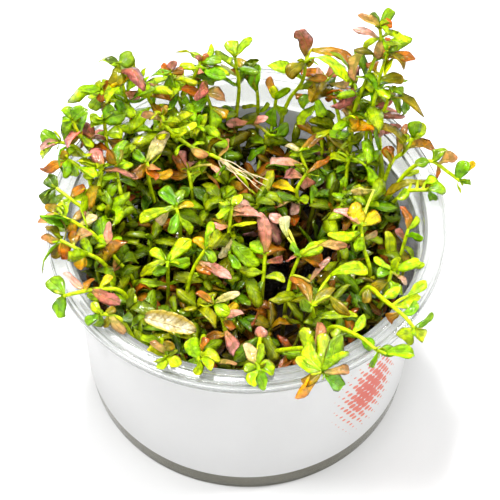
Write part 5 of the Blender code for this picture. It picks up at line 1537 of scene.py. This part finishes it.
def dead_tissue():
    """Bleached leaf: papery and creased, with a yellow rim and brown specks."""
    made, tree, output = new_material("dead_tissue")
    drawn = add_node(tree, "Group", {"Side veins": 9.0, "Slant": 1.6, "Midrib width": 0.16},
                     node_tree=LEAF_VEINS).outputs
    veins = drawn["Veins"]
    mottle = grained(tree, 800.0, 4.0)
    specks = grained(tree, 2600.0, 2.0)
    middle = mixed(tree, between(tree, mottle, 0.35, 0.65), *BLEACHED_COLOURS)
    rim = mixed(tree, mottle, *RIM_COLOURS)
    colour = mixed(tree, between(tree, drawn["Across"], 0.55, 0.8), middle, rim)
    colour = mixed(tree, reckon(tree, "MULTIPLY", veins, 0.5), colour, DEAD_VEINS)
    colour = mixed(tree, between(tree, specks, 0.62, 0.72, 0.0, 0.6), colour, SPECK_COLOUR)
    height = reckon(tree, "ADD", mottle, reckon(tree, "MULTIPLY", veins, 0.7))
    normal = bumped(tree, height, 0.4)
    shader = add_node(tree, "BsdfPrincipled", {
        "Base Color": colour, "Roughness": between(tree, mottle, 0.3, 0.7, 0.2, 0.5), "Coat Weight": 0.6,
        "Coat Roughness": 0.15, "Normal": normal})
    surfaced(tree, output, shader, 0.25, Color=colour, Normal=normal)
    return made


def make_loose_leaf():
    """The boat-shaped dead leaf in place of its solid."""
    start, end = (seen_at(*spot) for spot in LOOSE_ENDS)
    run = end - start
    canopy_points.extend(start + run * share for share in np.linspace(0.0, 1.0, LOOSE_SPOTS))
    side, normal = facing_up(blade_side(unit(run)), unit(run))
    spread = np.linspace(-1.0, 1.0, LOOSE_COLUMNS + 1)
    upper, lower, places = [], [], []
    for s in np.linspace(0.0, 1.0, LOOSE_ROWS + 1):
        swell = math.sin(math.pi * min(s * END_REACH, 1.0)) ** 0.5
        half = LOOSE_WIDTH / 2 * (END_SHARE + (1.0 - END_SHARE) * swell)
        ripple = sum(depth * np.sin(s * along + spread * across) for depth, along, across in RIPPLES)
        boat = RIM_RISE * np.abs(spread) ** 3 - MIDDLE_SAG * (1 - spread ** 2) * math.sin(math.pi * s)
        curled = spread * (1 - MARGIN_CURL * np.abs(spread))
        rise = BLADE_RISE * math.sin(math.pi * s) - BLADE_TILT * s - BLADE_DROP
        row = start + run * s + np.outer(curled * half, side) + np.outer(boat + ripple + rise, normal)
        thick = LOOSE_THICKNESS * (MIDDLE_THICKNESS + RIM_THICKNESS * np.abs(spread) ** 2)
        thick[[0, -1]] = 0.0
        upper.append(row + np.outer(thick / 2, normal))
        lower.append(row - np.outer(thick / 2, normal))
        places.append(np.column_stack((spread, np.full(len(spread), s), np.zeros(len(spread)))))
    points, faces, spots = shelled(upper, lower, places)
    mesh = meshed("loose_leaf_folded", (points * MM).tolist(), [], faces, place=spots)
    mesh.materials.append(dead_tissue())
    mesh.shade_smooth()
    leaf = finished("loose_leaf_folded", mesh)
    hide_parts("loose_leaf")


make_loose_leaf()


# Roots: the cutting that lies across the back of the clump has a tuft of thin pale roots at its cut end.
# They hang off its stem and lie on the leaves below.

ROOT_START = (219, 158, -1.0)
ROOT_ENDS = ((262, 191, -3.5), (256, 184, -3.0), (250, 190, -4.0), (266, 186, -3.5), (240, 180, -4.0),
             (247, 176, -2.5), (258, 178, -2.5), (236, 172, -3.0), (268, 180, -3.0))
ROOT_RADIUS = 0.13
ROOT_TAPER = 0.45
ROOT_BENDS = (0.3, 0.6, 0.82)
ROOT_STRAY = 0.8
ROOT_FADE = 1.2
ROOT_STEPS = 6
ROOT_TINT = (0.68, 0.60, 0.34)
ROOT_SEED = 41


def make_roots():
    """The tuft as thin wandering tubes from one node of the cutting."""
    growth = Growth("cutting_roots")
    chance = random.Random(ROOT_SEED)
    stem = growing["cutting"][1]
    wanted = seen_at(*ROOT_START)
    start = stem[np.argmin(np.linalg.norm(stem - wanted, axis=1))]
    for spot in ROOT_ENDS:
        end = seen_at(*spot)
        points = [start]
        for share in ROOT_BENDS:
            stray = np.array([chance.uniform(-ROOT_STRAY, ROOT_STRAY) for _ in range(3)])
            points.append(start + (end - start) * share + stray * (ROOT_FADE - share))
        points.append(end)
        line = smooth_line(points, ROOT_STEPS)
        canopy_points.extend(line)
        radii = np.linspace(ROOT_RADIUS, ROOT_RADIUS * ROOT_TAPER, len(line))
        growth.add_tube(line, radii, varied([ROOT_TINT], chance)[0])
    roots = growth.finish(*PLANT_LOOKS)


make_roots()


# Lower growth: below what the photograph shows singly, each stem carries crossed pairs of small leaves,
# older and browner towards the medium and darker there as painted shade, and puts out thin side shoots that
# fill the clump up to the listed leaves and between them. Where the photograph shows a dark gap or the bare
# wall, nothing grows near it.

GROWTH_SEED = 500
# Pairs: where the first one stands, how they are spaced, lean, droop and how long and wide the leaves are
FIRST_NODE = (0.5, 2.0)
NODE_SPACING = (3.6, 5.6)
LAST_NODE = 0.3
STEM_AHEAD = 0.5
LOWEST_LEAF, HIGHEST_LEAF = 20.0, 80.0
LEAF_REACH = (4.8, 8.4)
LEAF_WIDTH = (0.30, 0.44)
LEAF_LEAN = (0.1, 0.8)
LEAF_DROOP = (-0.8, 0.4)
OVER_MEDIUM = 1.0
# Side shoots: how many on a stem, where they leave it, how far they reach, bend and stay under the canopy
SIDE_SHOOTS = 4
SIDE_SHOOT_START = (18.0, 27.0)
SIDE_SHOOT_REACH = (1.5, 9.0)
SIDE_SHOOT_BEND = np.array((0.75, 0.75, 0.45))
SIDE_SHOOT_SINK = (0.0, 6.0)
SIDE_SHOOT_FOOT = 1.2
SIDE_OLD_LEVEL = OLD_LEVEL + 4.0
SIDE_LIGHT = 0.8
CROWN_LEAVES = (4.4, 7.4)
TOP_LEVELS = np.arange(68.0, 34.0, -0.8)
OUTWARD_LEAN = 0.35
# Stems that stand this far over the rim have leaves of their own from this far below it
TALL_STEM = 4.0
FREE_DEPTH = 3.0
# Canopy: a map in cells of so many pixels, how far below the listed leaves the rest stays, at the back and
# in front, and how much of a blurred cell's surroundings has to be listed
CANOPY_DROP = 1.5
UNDER_LEAF = 5.0
BACK_EDGE = 150
BACK_DROP = -0.5
BACK_SHARE = 0.16
FRONT_SHARE = 0.09
CELL = 4
OPEN_LEVEL = 99.0
BLUR_ROUNDS = 9
# Colours: fresh ones near the top, with how much painted shade darkens them below it, then kinds by level,
# each with a factor of painted shade
CANOPY_BRIGHT = 5.0
FRESH_LEVEL = 36.0
FRESH_SPREAD = 0.2
FRESH_SHADE = (0.22, 0.4)
OLD_SPREAD = 0.25
OLD_LIGHT = (0.8, 1.2)
# Top level, kinds and painted shade factor of the older leaves, darker towards the medium
OLD_LETTERS_AND_SHADE = ((24.0, "b", 0.3), (31.0, "bdo", 0.4), (38.0, "obGbo", 0.5), (80.0, "dGobGbo", 0.6))
YOUNG_LETTERS = "gGggGbgGogygGbpgGug"
CROWN_LETTERS = "ggGggg"

# Places in the photograph where one looks deep into the clump or at the bare wall: middle, half width and
# half height in pixels, and the level in mm over the floor that nothing rises above there
GAPS = (
    (136, 257, 12, 18, 22), (165, 246, 8, 8, 24), (368, 256, 10, 11, 22), (270, 284, 15, 14, 22),
    (223, 352, 14, 10, 26), (68, 182, 8, 16, 13), (416, 222, 9, 34, 13), (262, 80, 22, 12, 13),
    (146, 118, 10, 8, 20), (300, 340, 12, 8, 24), (315, 222, 12, 18, 26), (300, 308, 9, 14, 24),
    (254, 300, 8, 13, 24), (212, 188, 12, 18, 28), (248, 168, 13, 10, 28), (198, 298, 8, 8, 24),
    (256, 326, 9, 14, 24), (196, 346, 8, 8, 24), (332, 350, 9, 6, 24), (366, 326, 12, 7, 24),
    (330, 252, 8, 8, 26),
)


def canopy_map():
    """Level of the listed leaves in each cell of the picture, and a smooth level between them."""
    cells = IMAGE_SIDE // CELL
    listed = np.full((cells, cells), OPEN_LEVEL)
    for point in canopy_points:
        across, down = pixel_of(point)
        row, column = int(down) // CELL, int(across) // CELL
        if 0 <= row < cells and 0 <= column < cells:
            listed[row, column] = min(listed[row, column], point[2])
    weight = (listed < OPEN_LEVEL).astype(float)
    total = np.where(listed < OPEN_LEVEL, listed, 0.0)
    for _ in range(BLUR_ROUNDS):
        for axis in (0, 1):
            total = (np.roll(total, 1, axis) + total + np.roll(total, -1, axis)) / 3
            weight = (np.roll(weight, 1, axis) + weight + np.roll(weight, -1, axis)) / 3
    at_back = (np.arange(cells) * CELL < BACK_EDGE)[:, None]
    enough = np.where(at_back, BACK_SHARE, FRONT_SHARE)
    smooth = np.where(weight > enough, total / np.maximum(weight, enough), 0.0)
    lowest = listed
    for axis in (0, 1):
        lowest = np.minimum(lowest, np.minimum(np.roll(lowest, 1, axis), np.roll(lowest, -1, axis)))
    under = np.where(at_back, BACK_DROP, UNDER_LEAF)
    return np.where(lowest < OPEN_LEVEL, np.minimum(lowest, smooth) - under, smooth - CANOPY_DROP)


CANOPY = canopy_map()


def level_allowed(point):
    """Highest level at which the lower growth may show at a point's pixel."""
    across, down = pixel_of(point)
    row, column = int(down) // CELL, int(across) // CELL
    if not (0 <= row < len(CANOPY) and 0 <= column < len(CANOPY)):
        return 0.0
    allowed = CANOPY[row, column]
    for middle_u, middle_v, half_u, half_v, level in GAPS:
        if ((across - middle_u) / half_u) ** 2 + ((down - middle_v) / half_v) ** 2 < 1.0:
            allowed = min(allowed, level)
    return allowed


def kept_in(point):
    """A point drawn in to where it clears the cup's wall, or leans out a little over the rim."""
    limit = CUP_BASE_RADIUS - CUP_WALL - WALL_MARGIN + OUTWARD_LEAN * max(point[2] - CUP_HEIGHT, 0.0)
    radius = math.hypot(point[0], point[1])
    if radius <= limit:
        return point
    return np.array((point[0] * limit / radius, point[1] * limit / radius, point[2]))


def age_tints(point, allowed, chance, letters=YOUNG_LETTERS):
    """Colours of a small leaf: fresh atop the clump and over the rim, older and in painted shade below."""
    depth = allowed - point[2]
    exposed = point[2] > CUP_HEIGHT
    if exposed or depth < CANOPY_BRIGHT and point[2] > FRESH_LEVEL:
        tints = varied(TINTS[chance.choice(letters)], chance, FRESH_SPREAD)
        # Fresh leaves under the top of the clump are painted darker by their depth, as shade
        shade = 0.0 if exposed else FRESH_SHADE[0] + FRESH_SHADE[1] * max(depth, 0.0) / CANOPY_BRIGHT
        return [tint * (1.0 - shade) for tint in tints]
    for top, old_letters, light in OLD_LETTERS_AND_SHADE:
        if point[2] < top:
            tints = varied(TINTS[chance.choice(old_letters)], chance, OLD_SPREAD)
            # The level's factor is painted shade; the random factor is the leaf's own tone
            return [tint * light * chance.uniform(*OLD_LIGHT) for tint in tints]


def add_pairs(growth, line, lowest, chance, free=False):
    """Crossed pairs of leaves along a stem from a level up; free ones may stand before listed leaves."""
    run = np.concatenate(([0.0], np.cumsum(np.linalg.norm(np.diff(line, axis=0), axis=1))))
    distance = chance.uniform(*FIRST_NODE)
    turn = chance.uniform(0.0, FULL_TURN)
    while distance < run[-1] - LAST_NODE:
        spot, ahead = (np.array([np.interp(d, run, line[:, axis]) for axis in range(3)])
                       for d in (distance, distance + STEM_AHEAD))
        along = unit(ahead - spot)
        distance += chance.uniform(*NODE_SPACING)
        turn += math.pi / 2 + chance.uniform(*TURN_STRAY)
        if not lowest < spot[2] < HIGHEST_LEAF:
            continue
        side = blade_side(along)
        other = np.cross(along, side)
        for half_turn in (0.0, math.pi):
            out = side * math.cos(turn + half_turn) + other * math.sin(turn + half_turn)
            length = chance.uniform(*LEAF_REACH)
            way = unit(out + along * chance.uniform(*LEAF_LEAN))
            tip = spot + way * length + np.array((0.0, 0.0, chance.uniform(*LEAF_DROOP)))
            allowed = tip[2] if free else min(level_allowed(tip), level_allowed((tip + spot) / 2))
            if tip[2] > allowed or tip[2] < MEDIUM_TOP + OVER_MEDIUM or not clear_of_cup(spot, tip):
                continue
            width = length * chance.uniform(*LEAF_WIDTH)
            tints = age_tints(tip, allowed, chance)
            growth.add_small_leaf(spot, tip, width, np.cross(along, out), tints, chance)


def add_side_shoot(growth, line, chance):
    """A thin shoot from low on a stem, rising beside it as high as the clump stands there."""
    start_level = chance.uniform(*SIDE_SHOOT_START)
    start = line[np.argmin(np.abs(line[:, 2] - start_level))]
    turn = chance.uniform(0.0, 2 * math.pi)
    out = np.array((math.cos(turn), math.sin(turn), 0.0)) * chance.uniform(*SIDE_SHOOT_REACH)
    sink = chance.uniform(*SIDE_SHOOT_SINK)
    for top in TOP_LEVELS:
        end = kept_in(np.array((start[0] + out[0], start[1] + out[1], top)))
        if top < level_allowed(end) - sink:
            break
    else:
        return
    shoot = smooth_line([start, kept_in(start + (end - start) * SIDE_SHOOT_BEND), end])
    tints = stem_tints(shoot, SIDE_OLD_LEVEL, SIDE_LIGHT)
    growth.add_tube(shoot, np.linspace(BRANCH_RADIUS * SIDE_SHOOT_FOOT, BRANCH_RADIUS, len(shoot)), tints)
    add_pairs(growth, shoot, LOWEST_LEAF, chance)
    crown = age_tints(end, level_allowed(end), chance, CROWN_LETTERS)
    add_crown(growth, shoot, CROWN_LEAVES, crown, chance)


def make_lower_growth():
    """Leaves and side shoots below the listed ones, then each plant as one object."""
    for number, (name, (growth, line)) in enumerate(growing.items()):
        chance = random.Random(GROWTH_SEED + number)
        tall = line[-1][2] > CUP_HEIGHT + TALL_STEM
        add_pairs(growth, line, LOWEST_LEAF, chance)
        if tall:
            add_pairs(growth, line, CUP_HEIGHT - FREE_DEPTH, chance, free=True)
        for _ in range(SIDE_SHOOTS * 2 if tall else SIDE_SHOOTS):
            add_side_shoot(growth, line, chance)
        plant = growth.finish(*PLANT_LOOKS)
        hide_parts("shoot_" + name)


make_lower_growth()


# Stage: pale floor and an even white studio. Soft round lights above the left, the right, the front and the
# back give the wet leaves their highlights.

FLOOR_SIDE = 4000.0
FLOOR_COLOURS = ((0.73, 0.73, 0.73), (0.75, 0.75, 0.75))
STUDIO_LIGHT = 0.70
# Name, place and width in mm, and power of each light
LIGHTS = (
    ("key", (-330.0, -80.0, 760.0), 190.0, 4.6),
    ("side", (480.0, 40.0, 560.0), 150.0, 2.6),
    ("front", (120.0, -560.0, 460.0), 60.0, 0.5),
    ("back", (-60.0, 330.0, 760.0), 120.0, 6.2),
)


def make_stage():
    """Floor, studio light and soft boxes."""
    mesh = bpy.data.meshes.new("floor")
    half = FLOOR_SIDE * MM / 2
    mesh.from_pydata([(-half, -half, 0.0), (half, -half, 0.0), (half, half, 0.0), (-half, half, 0.0)], [],
                     [(0, 1, 2, 3)])
    made, tree, output = new_material("floor_white")
    shade = mixed(tree, grained(tree, 8.0), *FLOOR_COLOURS)
    values = {"Base Color": shade, "Roughness": 0.9, "Specular IOR Level": 0.1}
    surfaced(tree, output, add_node(tree, "BsdfPrincipled", values))
    mesh.materials.append(made)
    floor = placed("floor", mesh)
    world = bpy.data.worlds.new("studio")
    world.use_nodes = True
    background = world.node_tree.nodes["Background"]
    background.inputs["Color"].default_value = (1.0, 1.0, 1.0, 1.0)
    background.inputs["Strength"].default_value = STUDIO_LIGHT
    bpy.context.scene.world = world
    for name, place, size, power in LIGHTS:
        data = bpy.data.lights.new(name, "AREA")
        data.shape = "DISK"
        data.size = size * MM
        data.energy = power
        lamp = placed(name, data)
        lamp.location = Vector(place) * MM
        lamp.rotation_euler = (Vector(AIM) * MM - lamp.location).to_track_quat("-Z", "Y").to_euler()
    bpy.context.scene.view_settings.view_transform = "Standard"


make_stage()
